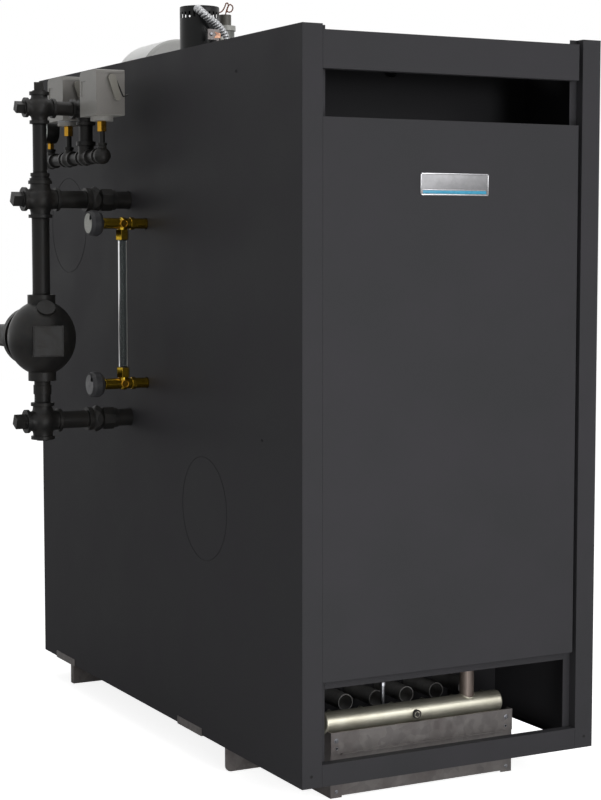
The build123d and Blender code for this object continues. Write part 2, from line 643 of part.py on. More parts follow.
def nipples():
    start = COLUMN_X + PIPE_114_ARM
    union_left = COLUMN_X + UNION_START
    pieces = []
    for height in (MIDDLE_CROSS_Z, BOTTOM_CROSS_Z):
        pieces.append(level(COLUMN_Y, height, start, union_left - UNION_COLLAR, PIPE_114_OD))
        pieces.append(level(COLUMN_Y, height, union_left + UNION_LENGTH, BLOCK_SIDE - FIT, PIPE_114_OD))
    pieces.append(level(COLUMN_Y, TOP_CROSS_Z, COLUMN_X + PIPE_1_ARM, CONTROL_X - PIPE_1_ARM, PIPE_1_OD))
    pieces.append(bar((CONTROL_X, COLUMN_Y, CONTROL_Z + PIPE_1_ARM),
                      (CONTROL_X, COLUMN_Y, TOP_CROSS_Z - PIPE_1_ARM), PIPE_1_OD))
    runs = ((FRONT_TEE_Y, COLUMN_Y), (COLUMN_Y, REAR_TEE_Y), (REAR_TEE_Y, GAUGE_TEE_Y))
    for y0, y1 in runs:
        pieces.append(bar((CONTROL_X, y0 + PIPE_34_ARM, CONTROL_Z), (CONTROL_X, y1 - PIPE_34_ARM, CONTROL_Z),
                          PIPE_34_OD))
    for y in (FRONT_TEE_Y, REAR_TEE_Y):
        pieces.append(bar((CONTROL_X, y, CONTROL_Z + TEE_OUTLET_TOP), (CONTROL_X, y, CONTROL_HEX_LOW), PIPE_14_OD))
    return Compound(pieces)


def union(height):
    # Collar, chamfered union nut, eight-sided tail and mouth, from left to right
    nut_left = COLUMN_X + UNION_START
    nut_right = nut_left + UNION_NUT_LENGTH
    tail_right = nut_right + UNION_TAIL_LENGTH
    right = nut_left + UNION_LENGTH
    collar = level(COLUMN_Y, height, nut_left - UNION_COLLAR, nut_left, PIPE_114_BAND)
    nut = prism((nut_left, COLUMN_Y, height), (nut_right, COLUMN_Y, height), UNION_NUT_FLATS)
    corner = UNION_NUT_FLATS / math.sqrt(3)
    half = UNION_NUT_LENGTH / 2
    face = UNION_NUT_FACE / 2
    profile = Polyline((0, 0), (face, 0), (corner, half), (face, 2 * half), (0, 2 * half), (0, 0))
    chamfers = revolve(make_face(Plane.XZ * profile), Axis.Z)
    nut &= Plane(origin=(nut_left, COLUMN_Y, height), z_dir=(1, 0, 0)) * chamfers
    tail = prism((nut_right, COLUMN_Y, height), (tail_right, COLUMN_Y, height), UNION_TAIL_FLATS, 8, 180 / 8)
    mouth = level(COLUMN_Y, height, tail_right, right, UNION_MOUTH)
    return collar + nut + tail + mouth


def float_chamber():
    # Egg-shaped float chamber with top and bottom hubs, a rear neck and flange, a round boss and a bare pad
    half = EllipticalCenterArc((0, 0), FLOAT_RADIUS, FLOAT_HALF_HEIGHT, start_angle=-90, arc_size=180)
    shell = make_face(Plane.XZ * (half + Line((0, FLOAT_HALF_HEIGHT), (0, -FLOAT_HALF_HEIGHT))))
    body = revolve(shell, Axis.Z)
    body += bar((0, 0, -FLOAT_HUB_REACH), (0, 0, FLOAT_HUB_REACH), FLOAT_HUB_DIAMETER)
    body += bar((0, 0, 0), (0, FLOAT_FLANGE_START, 0), 2 * FLOAT_NECK_RADIUS)
    flange_back = FLOAT_FLANGE_START + FLOAT_FLANGE
    body += bar((0, FLOAT_FLANGE_START, 0), (0, flange_back, 0), 2 * FLOAT_FLANGE_RADIUS)
    boss = Vector(*FLOAT_BOSS_PLACE)
    axis = Vector(*FLOAT_BOSS_AXIS).normalized()
    body += bar(boss - axis * FLOAT_BOSS_DIAMETER / 2, boss + axis * FLOAT_BOSS_REACH, FLOAT_BOSS_DIAMETER)
    outer = FLOAT_PAD / 2
    inner = outer - FLOAT_PAD_FRAME
    pad = slab(-outer, outer, -FLOAT_PAD_FACE, 0, -outer, outer)
    pad -= slab(-inner, inner, -FLOAT_PAD_FACE - 1, FLOAT_PAD_SUNK - FLOAT_PAD_FACE, -inner, inner)
    body += Pos(0, 0, -FLOAT_PAD_DROP) * Rot(0, 0, FLOAT_PAD_TURN) * pad
    # Its rear is open to the flange's plane
    reach = FLOAT_RADIUS + FLOAT_BOSS_DIAMETER
    body -= slab(-reach, reach, flange_back, flange_back + reach, -reach, reach)
    return Pos(COLUMN_X, COLUMN_Y, FLOAT_Z) * body


def float_cover():
    centre = Pos(COLUMN_X, COLUMN_Y, FLOAT_Z)
    y0 = FLOAT_FLANGE_START + FLOAT_FLANGE + FIT
    y1 = y0 + FLOAT_FLANGE
    y2 = y1 + SWITCH_NECK_LENGTH
    flange = bar((0, y0, 0), (0, y1, 0), 2 * FLOAT_FLANGE_RADIUS)
    neck = bar((0, y1, 0), (0, y2, 0), 2 * SWITCH_NECK_RADIUS)
    width, depth, height = SWITCH_BOX
    box = Pos(0, y2 + depth / 2, 0) * Box(width, depth, height)
    box = fillet(box.edges().filter_by(Axis.Y), SWITCH_ROUNDING)
    return centre * (flange + neck + box)


def top_elbow():
    arms = ((-1, 0, 0), (0, 0, -1))
    return fitting((CONTROL_X, COLUMN_Y, TOP_CROSS_Z), arms, PIPE_1_OD, PIPE_1_BAND, PIPE_1_ARM, CROSS_SWELL)


def small_outlet(y):
    # A tee's upper outlet for quarter-inch pipe, drawn in from the body to a ring
    cone = Cone(TEE_OUTLET_SPREAD / 2, TEE_OUTLET_DIAMETER / 2, TEE_OUTLET_RISE)
    neck = Pos(CONTROL_X, y, CONTROL_Z + TEE_OUTLET_RISE / 2) * cone
    ring_base = CONTROL_Z + TEE_OUTLET_RISE
    return neck + bar((CONTROL_X, y, ring_base), (CONTROL_X, y, CONTROL_Z + TEE_OUTLET_TOP), TEE_OUTLET_RING)


def control_tees():
    both = ((0, 1, 0), (0, -1, 0))
    size = (PIPE_34_OD, PIPE_34_BAND, PIPE_34_ARM, TEE_SWELL)
    front = fitting((CONTROL_X, FRONT_TEE_Y, CONTROL_Z), ((0, 1, 0),), *size) + small_outlet(FRONT_TEE_Y)
    rear = fitting((CONTROL_X, REAR_TEE_Y, CONTROL_Z), both, *size) + small_outlet(REAR_TEE_Y)
    last = fitting((CONTROL_X, GAUGE_TEE_Y, CONTROL_Z), both, *size) + small_outlet(GAUGE_TEE_Y)
    run_end = GAUGE_TEE_Y + PIPE_34_ARM
    last += bar((CONTROL_X, run_end, CONTROL_Z), (CONTROL_X, run_end + RUN_PLUG_REACH, CONTROL_Z), RUN_PLUG_DIAMETER)
    riser_base = CONTROL_Z + RISER_OUTLET_RISE
    middle = fitting((CONTROL_X, COLUMN_Y, CONTROL_Z), both, *size)
    middle += bar((CONTROL_X, COLUMN_Y, CONTROL_Z), (CONTROL_X, COLUMN_Y, riser_base), RISER_OUTLET_DIAMETER)
    middle += bar((CONTROL_X, COLUMN_Y, riser_base), (CONTROL_X, COLUMN_Y, CONTROL_Z + PIPE_1_ARM), PIPE_1_BAND)
    return Compound([front, middle, rear, last])


def pressure_control(y):
    # Cover, boss and shallow side window, with its lever and pointer on the front
    left = CONTROL_X + CONTROL_SHIFT - CONTROL_WIDTH / 2
    front = y - CONTROL_DEPTH / 2
    back = y + CONTROL_DEPTH / 2
    box = slab(left, left + CONTROL_WIDTH, front, back, CONTROL_BOTTOM, CONTROL_BOTTOM + CONTROL_HEIGHT)
    box = fillet(box.edges().filter_by(Axis.X).group_by(Axis.Z)[-1].sort_by(Axis.Y)[-1], CONTROL_CROWN)
    box = fillet(box.edges().filter_by(Axis.X).sort_by(Axis.Y)[:2], CONTROL_ROUNDING)
    boss_low = CONTROL_BOTTOM - CONTROL_BOSS_HEIGHT
    boss = bar((CONTROL_X, y, boss_low), (CONTROL_X, y, CONTROL_BOTTOM), CONTROL_BOSS_DIAMETER)
    width, height = CONTROL_WINDOW
    window_low = CONTROL_BOTTOM + CONTROL_WINDOW_RISE
    window_back = back - CONTROL_WINDOW_INSET
    window_face = left + CONTROL_WINDOW_DEPTH
    box -= slab(left - 1, window_face, window_back - width, window_back, window_low, window_low + height)

    def on_front(place, out):
        return Vector(left + place[0], front - out, CONTROL_BOTTOM + place[1])

    pivot_diameter = 2 * LEVER_PIVOT_RADIUS - LEVER_STANDOFF
    pivot = bar(on_front(LEVER_PIVOT, LEVER_STANDOFF), on_front(LEVER_PIVOT, 0), pivot_diameter)
    face = Plane(origin=on_front((0, 0), LEVER_STANDOFF), x_dir=(1, 0, 0), z_dir=(0, -1, 0))
    ends = Pos(*LEVER_PIVOT) * Circle(LEVER_PIVOT_RADIUS) + Pos(*LEVER_END) * Circle(LEVER_END_RADIUS)
    lever = extrude(face * make_hull(ends.edges()), LEVER_THICKNESS)
    lift = POINTER_DIAMETER / 3
    rod = bar(on_front(POINTER_TOP, lift), on_front(POINTER_BEND, lift), POINTER_DIAMETER)
    tip = bar(on_front(POINTER_BEND, lift), on_front(POINTER_TIP, lift), POINTER_DIAMETER)
    return box + boss + pivot + lever + rod + tip


def control_stems():
    stems = []
    for y in (FRONT_TEE_Y, REAR_TEE_Y):
        stems.append(prism((CONTROL_X, y, CONTROL_HEX_LOW), (CONTROL_X, y, CONTROL_HEX_TOP), CONTROL_HEX))
    low = CONTROL_Z + TEE_OUTLET_TOP + FIT
    top = GAUGE_Z - GAUGE_RADIUS - FIT
    stems.append(prism((CONTROL_X, GAUGE_TEE_Y, low), (CONTROL_X, GAUGE_TEE_Y, top), GAUGE_STEM_HEX))
    return Compound(stems)


def pressure_gauge():
    x0 = CONTROL_X + GAUGE_SHIFT - GAUGE_CASE
    case = level(GAUGE_TEE_Y, GAUGE_Z, x0, x0 + GAUGE_CASE, 2 * GAUGE_RADIUS)
    return case - level(GAUGE_TEE_Y, GAUGE_Z, x0 - 1, x0 + GAUGE_RECESS, 2 * (GAUGE_RADIUS - GAUGE_RIM))


def gauge_cock(height, toward):
    # Brass cock: nipple through the jacket, round body, packing nut round the glass, bonnet round the stem
    hex_left = GLASS_X + COCK_HEX_START
    bonnet = GLASS_X - BONNET_REACH
    packing = height + toward * PACKING_REACH
    nut_start = packing - toward * PACKING_NUT
    glass_end = packing - toward * GLASS_SEAT
    body = Pos(GLASS_X, GLASS_Y, height) * Sphere(COCK_RADIUS)
    body += level(GLASS_Y, height, GLASS_X, BLOCK_SIDE - FIT, COCK_NIPPLE_DIAMETER)
    body += prism((hex_left, GLASS_Y, height), (hex_left + COCK_HEX_LENGTH, GLASS_Y, height), COCK_HEX)
    body += bar((GLASS_X, GLASS_Y, height), (GLASS_X, GLASS_Y, packing), COCK_STEM_DIAMETER)
    body += prism((GLASS_X, GLASS_Y, nut_start), (GLASS_X, GLASS_Y, packing), PACKING_HEX)
    body -= bar((GLASS_X, GLASS_Y, glass_end), (GLASS_X, GLASS_Y, packing + toward), GLASS_DIAMETER + 2 * FIT)
    barrel = level(GLASS_Y, height, bonnet, GLASS_X, BONNET_DIAMETER)
    body += chamfer(barrel.edges().filter_by(GeomType.CIRCLE).sort_by(Axis.X)[0], BONNET_EDGE)
    return body - level(GLASS_Y, height, bonnet - 1, bonnet + STEM_DEPTH + 1, STEM_DIAMETER + 2 * STEM_CLEARANCE)


def knob(height):
    # Cup-shaped hand knob, open to the left, on its stem
    bonnet = GLASS_X - BONNET_REACH
    back = bonnet - KNOB_GAP
    radius = KNOB_DIAMETER / 2
    mouth = KNOB_MOUTH_DIAMETER / 2
    profile = Polyline(
        (0, KNOB_HUB_DROP), (KNOB_HUB_DIAMETER / 2, KNOB_HUB_DROP), (KNOB_HUB_DIAMETER / 2, KNOB_DISH),
        (mouth - KNOB_RIM, KNOB_DISH), (mouth - KNOB_RIM, 0), (mouth - KNOB_EDGE, 0), (mouth, KNOB_EDGE),
        (radius, KNOB_SWELL), (radius, KNOB_TAPER_START), (KNOB_BACK_DIAMETER / 2, KNOB_THICKNESS - KNOB_EDGE),
        (KNOB_BACK_DIAMETER / 2 - KNOB_EDGE, KNOB_THICKNESS), (0, KNOB_THICKNESS), (0, KNOB_HUB_DROP),
    )
    face = Plane(origin=(back - KNOB_THICKNESS, GLASS_Y, height), z_dir=(1, 0, 0))
    cup = face * revolve(make_face(Plane.XZ * profile), Axis.Z)
    return cup + level(GLASS_Y, height, back, bonnet + STEM_DEPTH, STEM_DIAMETER)


def gauge_glass():
    z0 = GLASS_BOTTOM_Z + PACKING_REACH - GLASS_SEAT + FIT
    z1 = GLASS_TOP_Z - PACKING_REACH + GLASS_SEAT - FIT
    tube = bar((GLASS_X, GLASS_Y, z0), (GLASS_X, GLASS_Y, z1), GLASS_DIAMETER)
    return tube - bar((GLASS_X, GLASS_Y, z0 - 1), (GLASS_X, GLASS_Y, z1 + 1), GLASS_DIAMETER - 2 * GLASS_WALL)


def can_exit():
    # Where the conduit leaves the can: the point on its wall, and the way out
    angle = math.radians(CAN_EXIT_ANGLE)
    out = Vector(math.cos(angle), math.sin(angle), 0)
    wall = Vector(CAN_X, CAN_Y, ROOF + CAN_HEIGHT - CAN_EXIT_DROP) + out * CAN_DIAMETER / 2
    return wall, out


def slotted_can():
    top = ROOF + CAN_HEIGHT
    can = bar((CAN_X, CAN_Y, ROOF), (CAN_X, CAN_Y, top), CAN_DIAMETER)
    can -= bar((CAN_X, CAN_Y, ROOF + CAN_FLOOR), (CAN_X, CAN_Y, top - CAN_WALL), CAN_DIAMETER - 2 * CAN_WALL)
    z = top - CAN_SLOT_DROP + CAN_SLOT_HEIGHT / 2
    slot = Pos(CAN_DIAMETER / 2, 0, 0) * Box(4 * CAN_WALL, CAN_SLOT_WIDTH, CAN_SLOT_HEIGHT)
    for index in range(CAN_SLOTS):
        can -= Pos(CAN_X, CAN_Y, z) * Rot(0, 0, CAN_SLOT_PHASE + 360.0 / CAN_SLOTS * index) * slot
    wall, out = can_exit()
    return can + bar(wall - out * CAN_WALL / 2, wall + out * CAN_EXIT_COLLAR, CAN_EXIT_DIAMETER)


def relief_valve():
    neck = ROOF + RELIEF_BODY_HEIGHT
    band = neck + RELIEF_BAND_HEIGHT

    def ring(z0, z1, diameter):
        return bar((RELIEF_X, RELIEF_Y, z0), (RELIEF_X, RELIEF_Y, z1), diameter)

    base = ROOF + RELIEF_HEX_HEIGHT
    body = prism((RELIEF_X, RELIEF_Y, ROOF), (RELIEF_X, RELIEF_Y, base), RELIEF_HEX)
    body += ring(base, neck, RELIEF_BODY_DIAMETER - RELIEF_SHOULDER)
    body += ring(neck, band, RELIEF_BODY_DIAMETER + RELIEF_SHOULDER)
    return body + ring(band, band + RELIEF_CAP_HEIGHT, RELIEF_CAP_DIAMETER)


def junction_box():
    width, depth, height = JUNCTION_SIZE
    lid = ROOF + height
    box = Pos(JUNCTION_X, JUNCTION_Y, ROOF + height / 2) * Box(width, depth, height)
    box = fillet(box.edges().filter_by(Axis.Z), JUNCTION_ROUNDING)
    connector_top = lid + CONNECTOR_HEIGHT
    return box + bar((CONNECTOR_X, JUNCTION_Y, lid), (CONNECTOR_X, JUNCTION_Y, connector_top), CONNECTOR_DIAMETER)


def sensor_bracket():
    # A plate on a leg and foot, stood on the roof before the junction box
    y = JUNCTION_Y - JUNCTION_SIZE[1] / 2 - FIT
    right = BRACKET_X + BRACKET_WIDTH
    plate = slab(BRACKET_X, right, y - SHEET, y, ROOF + BRACKET_LOW, ROOF + BRACKET_TOP)
    plate += slab(right - BRACKET_LEG, right, y - SHEET, y, ROOF, ROOF + BRACKET_LOW)
    return plate + slab(right - BRACKET_LEG, right, y - BRACKET_FOOT, y, ROOF, ROOF + SHEET)


def bent_tube(points, diameter):
    # Straight runs joined by tangent arcs, each as large as its two runs allow
    points = [Vector(*point) for point in points]
    radii = []
    for before, corner, after in zip(points, points[1:], points[2:]):
        turn = (corner - before).get_angle(after - corner)
        shorter = min((corner - before).length, (after - corner).length)
        radii.append(0.45 * shorter / math.tan(math.radians(turn / 2)))
    path = FilletPolyline(*points, radius=radii)
    start = Plane(origin=points[0], z_dir=points[1] - points[0])
    print("arc radii", [round(radius, 1) for radius in radii])
    return sweep(start * Circle(diameter / 2), path)


def can_conduit():
    # Flexible conduit from the can's collar down to the junction box's connector
    wall, out = can_exit()
    lid = ROOF + JUNCTION_SIZE[2] + CONNECTOR_HEIGHT
    end = Vector(CONNECTOR_X, JUNCTION_Y, lid)
    start = wall + out * (CAN_EXIT_COLLAR + FIT)
    points = [
        start, wall + Vector(-6.2, -11.2, 0), wall + Vector(-7.7, -18.4, -1.9), wall + Vector(-6.9, -25.1, -5.4),
        wall + Vector(-3.9, -30.3, -10), wall + Vector(1.1, -33.1, -15), wall + Vector(12.4, -32.4, -23.7),
        end + Vector(-28, -0.2, 50), end + Vector(-12, 0.1, 35), end + Vector(0, 0, 17), end + Vector(0, 0, FIT),
    ]
    return bent_tube(points, CONDUIT_DIAMETER)


def seal_wire():
    # From the can's wall to the relief valve's cap, with two loops one before the other
    cap = Vector(RELIEF_X, RELIEF_Y, ROOF + RELIEF_BODY_HEIGHT + RELIEF_BAND_HEIGHT + RELIEF_CAP_HEIGHT)
    toward = Vector(RELIEF_X - CAN_X, RELIEF_Y - CAN_Y, 0).normalized()
    tie = Vector(CAN_X, CAN_Y, cap.Z + 3) + toward * (CAN_DIAMETER / 2 + FIT)
    behind = Vector(0, SEAL_WIRE_LAYER, 0)
    before = Vector(0, -SEAL_WIRE_LAYER, 0)
    points = [
        tie, tie + toward * 16, cap + behind + Vector(-8, 0, 7), cap + behind + Vector(0, 0, 18),
        cap + behind + Vector(5, 0, 34), cap + behind + Vector(12, 0, 26), cap + Vector(5, 0, 13),
        cap + before + Vector(6, 0, 7), cap + before + Vector(16, 0, 8), cap + before + Vector(22, 0, 19),
        cap + before + Vector(14, 0, 28), cap + before + Vector(5, 0, 20), cap + before + Vector(0, 0, FIT),
    ]
    return bent_tube(points, SEAL_WIRE_DIAMETER)


def nameplate():
    half = NAMEPLATE_WIDTH / 2
    z = TOP - NAMEPLATE_DROP
    return slab(NAMEPLATE_OFFSET - half, NAMEPLATE_OFFSET + half, FRONT - NAMEPLATE_THICKNESS, FRONT,
                z - NAMEPLATE_HEIGHT / 2, z + NAMEPLATE_HEIGHT / 2)


def pilot_tube():
    y = FRONT + PILOT_DEPTH
    seat = MANIFOLD_HEIGHT - MANIFOLD_DIAMETER / 2
    return bar((PILOT_X, y, seat), (PILOT_X, y, PILOT_TOP), PILOT_DIAMETER)


left_side = side_panel()
right_side = mirror(left_side, about=Plane.YZ)
for hole in pipe_holes():
    left_side -= hole

left_edge = -OPENING + FIT
right_edge = OPENING - SHADOW_GAP
top_cross, middle_cross, bottom_cross = crosses()
upper_pipe, main_pipe, low_pipe = column_pipes()

parts = {
    "left_side_panel": left_side,
    "right_side_panel": right_side,
    "rear_panel": rear_panel(),
    "roof_panel": roof_panel(),
    "top_front_rail": channel(left_edge, right_edge, ROOF - TOP_RAIL_HEIGHT, ROOF),
    "front_door_panel": channel(left_edge, right_edge, LOW + DOOR_BOTTOM, TOP - DOOR_TOP_DROP),
    "bottom_front_rail": channel(left_edge, OPENING - FIT, LOW, LOW + BOTTOM_RAIL_HEIGHT),
    "door_support_rail": slab(-OPENING + STOP_LIP + FIT, OPENING - STOP_LIP - FIT, LIP_FACE, LIP_FACE + SHEET,
                              LOW + DOOR_BOTTOM - SUPPORT_RAIL_HEIGHT, LOW + DOOR_BOTTOM + SUPPORT_RAIL_LAP),
    "nameplate": nameplate(),
    "inner_front_panel": inner_front(),
    "burner_panel": burner_panel(),
    "boiler_block": boiler_block(),
    "middle_base_rail": middle_rail(),
    "rear_base_rail": rear_rail(),
    "base_front_tray": tray(),
    "base_front_channel": tray_channel(),
    "jacket_clips": jacket_clips(),
    "burner_tubes": burners(),
    "gas_manifold": manifold(),
    "gas_riser": riser(),
    "pilot_tube": pilot_tube(),
    "flue_outlet": flue(),
    "slotted_can": slotted_can(),
    "can_conduit": can_conduit(),
    "relief_valve": relief_valve(),
    "seal_wire": seal_wire(),
    "junction_box": junction_box(),
    "sensor_bracket": sensor_bracket(),
    "top_cross": top_cross,
    "middle_cross": middle_cross,
    "bottom_cross": bottom_cross,
    "cross_plugs": cross_plugs(),
    "column_pipes": Compound([upper_pipe, main_pipe, low_pipe]),
    "float_chamber": float_chamber(),
    "float_cover": float_cover(),
    "pipe_unions": Compound([union(MIDDLE_CROSS_Z), union(BOTTOM_CROSS_Z)]),
    "pipe_nipples": nipples(),
    "top_elbow": top_elbow(),
    "control_tees": control_tees(),
    "control_stems": control_stems(),
    "front_pressure_control": pressure_control(FRONT_TEE_Y),
    "rear_pressure_control": pressure_control(REAR_TEE_Y),
    "pressure_gauge": pressure_gauge(),
    "upper_gauge_cock": gauge_cock(GLASS_TOP_Z, -1),
    "lower_gauge_cock": gauge_cock(GLASS_BOTTOM_Z, 1),
    "upper_cock_knob": knob(GLASS_TOP_Z),
    "lower_cock_knob": knob(GLASS_BOTTOM_Z),
    "gauge_glass": gauge_glass(),
}

for name, shape in parts.items():
    export_step(shape, f"parts/{name}.step")
print(len(parts), "pieces written")
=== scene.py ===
import math

import bmesh
import bpy
from mathutils import Matrix, Vector


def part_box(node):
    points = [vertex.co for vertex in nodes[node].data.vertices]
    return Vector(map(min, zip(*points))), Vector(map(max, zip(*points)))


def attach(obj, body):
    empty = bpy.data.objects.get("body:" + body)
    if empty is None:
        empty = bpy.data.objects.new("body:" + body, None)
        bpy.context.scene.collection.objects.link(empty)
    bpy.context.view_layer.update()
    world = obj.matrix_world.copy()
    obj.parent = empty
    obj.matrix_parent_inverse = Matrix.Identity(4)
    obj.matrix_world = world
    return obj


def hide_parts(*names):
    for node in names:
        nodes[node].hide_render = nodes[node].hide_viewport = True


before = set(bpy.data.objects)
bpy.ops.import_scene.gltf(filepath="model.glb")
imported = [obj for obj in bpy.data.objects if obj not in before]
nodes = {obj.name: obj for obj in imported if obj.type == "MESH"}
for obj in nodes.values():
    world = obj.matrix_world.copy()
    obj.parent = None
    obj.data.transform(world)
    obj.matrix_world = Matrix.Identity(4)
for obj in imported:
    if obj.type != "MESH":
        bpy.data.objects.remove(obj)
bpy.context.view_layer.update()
mm = 0.001
print("frame loaded,", len(nodes), "nodes")


# Camera
cameraSettings = {
    "place": (-2.1493, -3.7830, 1.1988),
    "pitchDown": 4.735,
    "turn": -27.811,
    "lensMm": 84.22,
    "sensorMm": 36.0,
    "clipEnd": 60,
}


def makeCamera(settings):
    data = bpy.data.cameras.new("camera")
    data.lens = settings["lensMm"]
    data.sensor_width = settings["sensorMm"]
    data.clip_end = settings["clipEnd"]
    camera = bpy.data.objects.new("camera", data)
    camera.location = settings["place"]
    camera.rotation_euler = (math.radians(90 - settings["pitchDown"]), 0, math.radians(settings["turn"]))
    bpy.context.scene.collection.objects.link(camera)
    bpy.context.scene.camera = camera


makeCamera(cameraSettings)
bpy.context.scene.view_settings.view_transform = "Standard"
print("camera set")


# Colour and node helpers
def toLinear(hexCode):
    channels = [int(hexCode[i:i + 2], 16) / 255 for i in (1, 3, 5)]
    linear = [c / 12.92 if c <= 0.04045 else ((c + 0.055) / 1.055) ** 2.4 for c in channels]
    return (*linear, 1.0)


def addNode(tree, kind, inputs=None, **settings):
    # An input is a socket to link, a colour's hex code, or a plain value
    node = tree.nodes.new(kind)
    for name, value in settings.items():
        setattr(node, name, value)
    for name, value in (inputs or {}).items():
        if isinstance(value, bpy.types.NodeSocket):
            tree.links.new(value, node.inputs[name])
        else:
            node.inputs[name].default_value = toLinear(value) if isinstance(value, str) else value
    return node


def addNoise(tree, place, sizeMm, detail, roughness=0.5):
    return addNode(tree, "ShaderNodeTexNoise", {
        "Vector": place, "Scale": 1000 / sizeMm, "Detail": detail, "Roughness": roughness}).outputs["Fac"]


def mapRange(tree, value, fromMin, fromMax, toMin=0.0, toMax=1.0):
    return addNode(tree, "ShaderNodeMapRange", {
        "Value": value, "From Min": fromMin, "From Max": fromMax,
        "To Min": toMin, "To Max": toMax}).outputs["Result"]


def mixColours(tree, share, first, second):
    return addNode(tree, "ShaderNodeMix", {0: share, 6: first, 7: second}, data_type="RGBA").outputs[2]


def newSurface(name):
    material = bpy.data.materials.new(name)
    material.use_nodes = True
    tree = material.node_tree
    tree.nodes.clear()
    shader = addNode(tree, "ShaderNodeBsdfPrincipled")
    addNode(tree, "ShaderNodeOutputMaterial", {"Surface": shader.outputs["BSDF"]})
    place = addNode(tree, "ShaderNodeTexCoord").outputs["Object"]
    return material, tree, shader, place


def dressShader(tree, shader, colour, gloss, height, reliefMm, metallic, edgeMm=0.0):
    bump = {"Height": height, "Distance": reliefMm * mm, "Strength": 1.0}
    if edgeMm:
        edge = addNode(tree, "ShaderNodeBevel", {"Radius": edgeMm * mm}, samples=4)
        bump["Normal"] = edge.outputs["Normal"]
    relief = addNode(tree, "ShaderNodeBump", bump)
    tree.links.new(colour, shader.inputs["Base Color"])
    tree.links.new(gloss, shader.inputs["Roughness"])
    tree.links.new(relief.outputs["Normal"], shader.inputs["Normal"])
    shader.inputs["Metallic"].default_value = metallic


# A surface with soft patches of a second colour, a fine grain that can be felt, and softly broken edges.
# A zone (axis, start, end, colour) is a band of the piece, in mm along one axis, with its own colour.
def mottledSurface(name, colour, patchColour, patchMm, grainMm, speckle, reliefMm, roughness, edgeMm,
                   metallic=0.0, specular=0.5, zones=()):
    material, tree, shader, place = newSurface(name)
    patches = addNoise(tree, place, patchMm, 4.0, 0.6)
    grain = addNoise(tree, place, grainMm, 2.0)
    speck = mapRange(tree, grain, 0.3, 0.7, 1 - speckle, 1 + speckle)
    mixed = mixColours(tree, mapRange(tree, patches, 0.35, 0.68), colour, patchColour)
    axes = addNode(tree, "ShaderNodeSeparateXYZ", {"Vector": place})
    for axis, start, end, zoneColour in zones:
        inside = addNode(tree, "ShaderNodeMath", {
            0: axes.outputs[axis], 1: (start + end) / 2 * mm, 2: (end - start) / 2 * mm}, operation="COMPARE")
        mixed = mixColours(tree, inside.outputs[0], mixed, zoneColour)
    shade = addNode(tree, "ShaderNodeVectorMath", {0: mixed, "Scale": speck}, operation="SCALE")
    gloss = mapRange(tree, patches, 0.3, 0.7, *roughness)
    dressShader(tree, shader, shade.outputs["Vector"], gloss, grain, reliefMm, metallic, edgeMm)
    shader.inputs["Specular IOR Level"].default_value = specular
    return material


# Polyester powder coat on sheet steel, sprayed and baked: satin, with faint orange peel
powderCoat = mottledSurface(
    "powder_coated_steel_sheet", "#38383a", "#3b3a3d", patchMm=180, grainMm=1.6, speckle=0.06,
    reliefMm=0.03, roughness=(0.5, 0.6), specular=0.08, edgeMm=1.2)

# Asphalt varnish on welded steel pipe, dipped: thin and dark, a little gloss over faint mill marks
blackPipe = mottledSurface(
    "varnished_black_pipe", "#1c1c1c", "#242220", patchMm=45, grainMm=2.2, speckle=0.12,
    reliefMm=0.08, roughness=(0.36, 0.5), specular=0.2, edgeMm=0.6)

# Malleable iron, sand cast and blackened: coarse sand grain and soft edges
malleableIron = mottledSurface(
    "sand_cast_malleable_iron", "#1c1c1c", "#262422", patchMm=22, grainMm=1.9, speckle=0.2,
    reliefMm=0.22, roughness=(0.36, 0.5), specular=0.24, edgeMm=1.2)

# Grey iron, sand cast: dull and slightly rusty in the pores
greyIron = mottledSurface(
    "sand_cast_grey_iron", "#3a3a3a", "#463d38", patchMm=40, grainMm=2.0, speckle=0.18,
    reliefMm=0.25, roughness=(0.6, 0.8), specular=0.2, edgeMm=2.0)

# Phenolic resin, moulded: nearly black, smooth and a little glossy
phenolic = mottledSurface(
    "moulded_phenolic", "#161616", "#1b1b1b", patchMm=30, grainMm=1.0, speckle=0.04,
    reliefMm=0.01, roughness=(0.3, 0.4), specular=0.3, edgeMm=0.8)

# Black stoving enamel on spun sheet steel: deep black with a soft gloss
stovedCan = mottledSurface(
    "black_stoved_sheet_steel", "#0d0e0f", "#111213", patchMm=50, grainMm=1.2, speckle=0.04,
    reliefMm=0.012, roughness=(0.3, 0.4), specular=0.22, edgeMm=0.6)

# Zinc alloy, die cast and painted dark grey: smooth with thin paint on its edges
knobPaint = mottledSurface(
    "painted_die_cast_zinc", "#323234", "#38383a", patchMm=25, grainMm=1.0, speckle=0.06,
    reliefMm=0.02, roughness=(0.42, 0.52), specular=0.3, edgeMm=1.0)

# Zinc alloy, die cast and left bare: pale grey with a fine grain
bareCasting = mottledSurface(
    "bare_die_cast_zinc", "#dcddd7", "#c8c9c2", patchMm=14, grainMm=0.9, speckle=0.06,
    reliefMm=0.02, roughness=(0.5, 0.6), edgeMm=0.5)

# Brass, cast and left to darken: olive yellow, with a glint on its turned edges
castBrass = mottledSurface(
    "darkened_cast_brass", "#c2a034", "#8f7623", patchMm=20, grainMm=1.4, speckle=0.06,
    reliefMm=0.03, roughness=(0.12, 0.24), metallic=1.0, edgeMm=1.0)

# Brass, milled from bar: brighter and more golden, faintly marked by the cutter
milledBrass = mottledSurface(
    "milled_bar_brass", "#b08530", "#95701f", patchMm=18, grainMm=1.0, speckle=0.05,
    reliefMm=0.015, roughness=(0.16, 0.26), metallic=1.0, edgeMm=0.5)

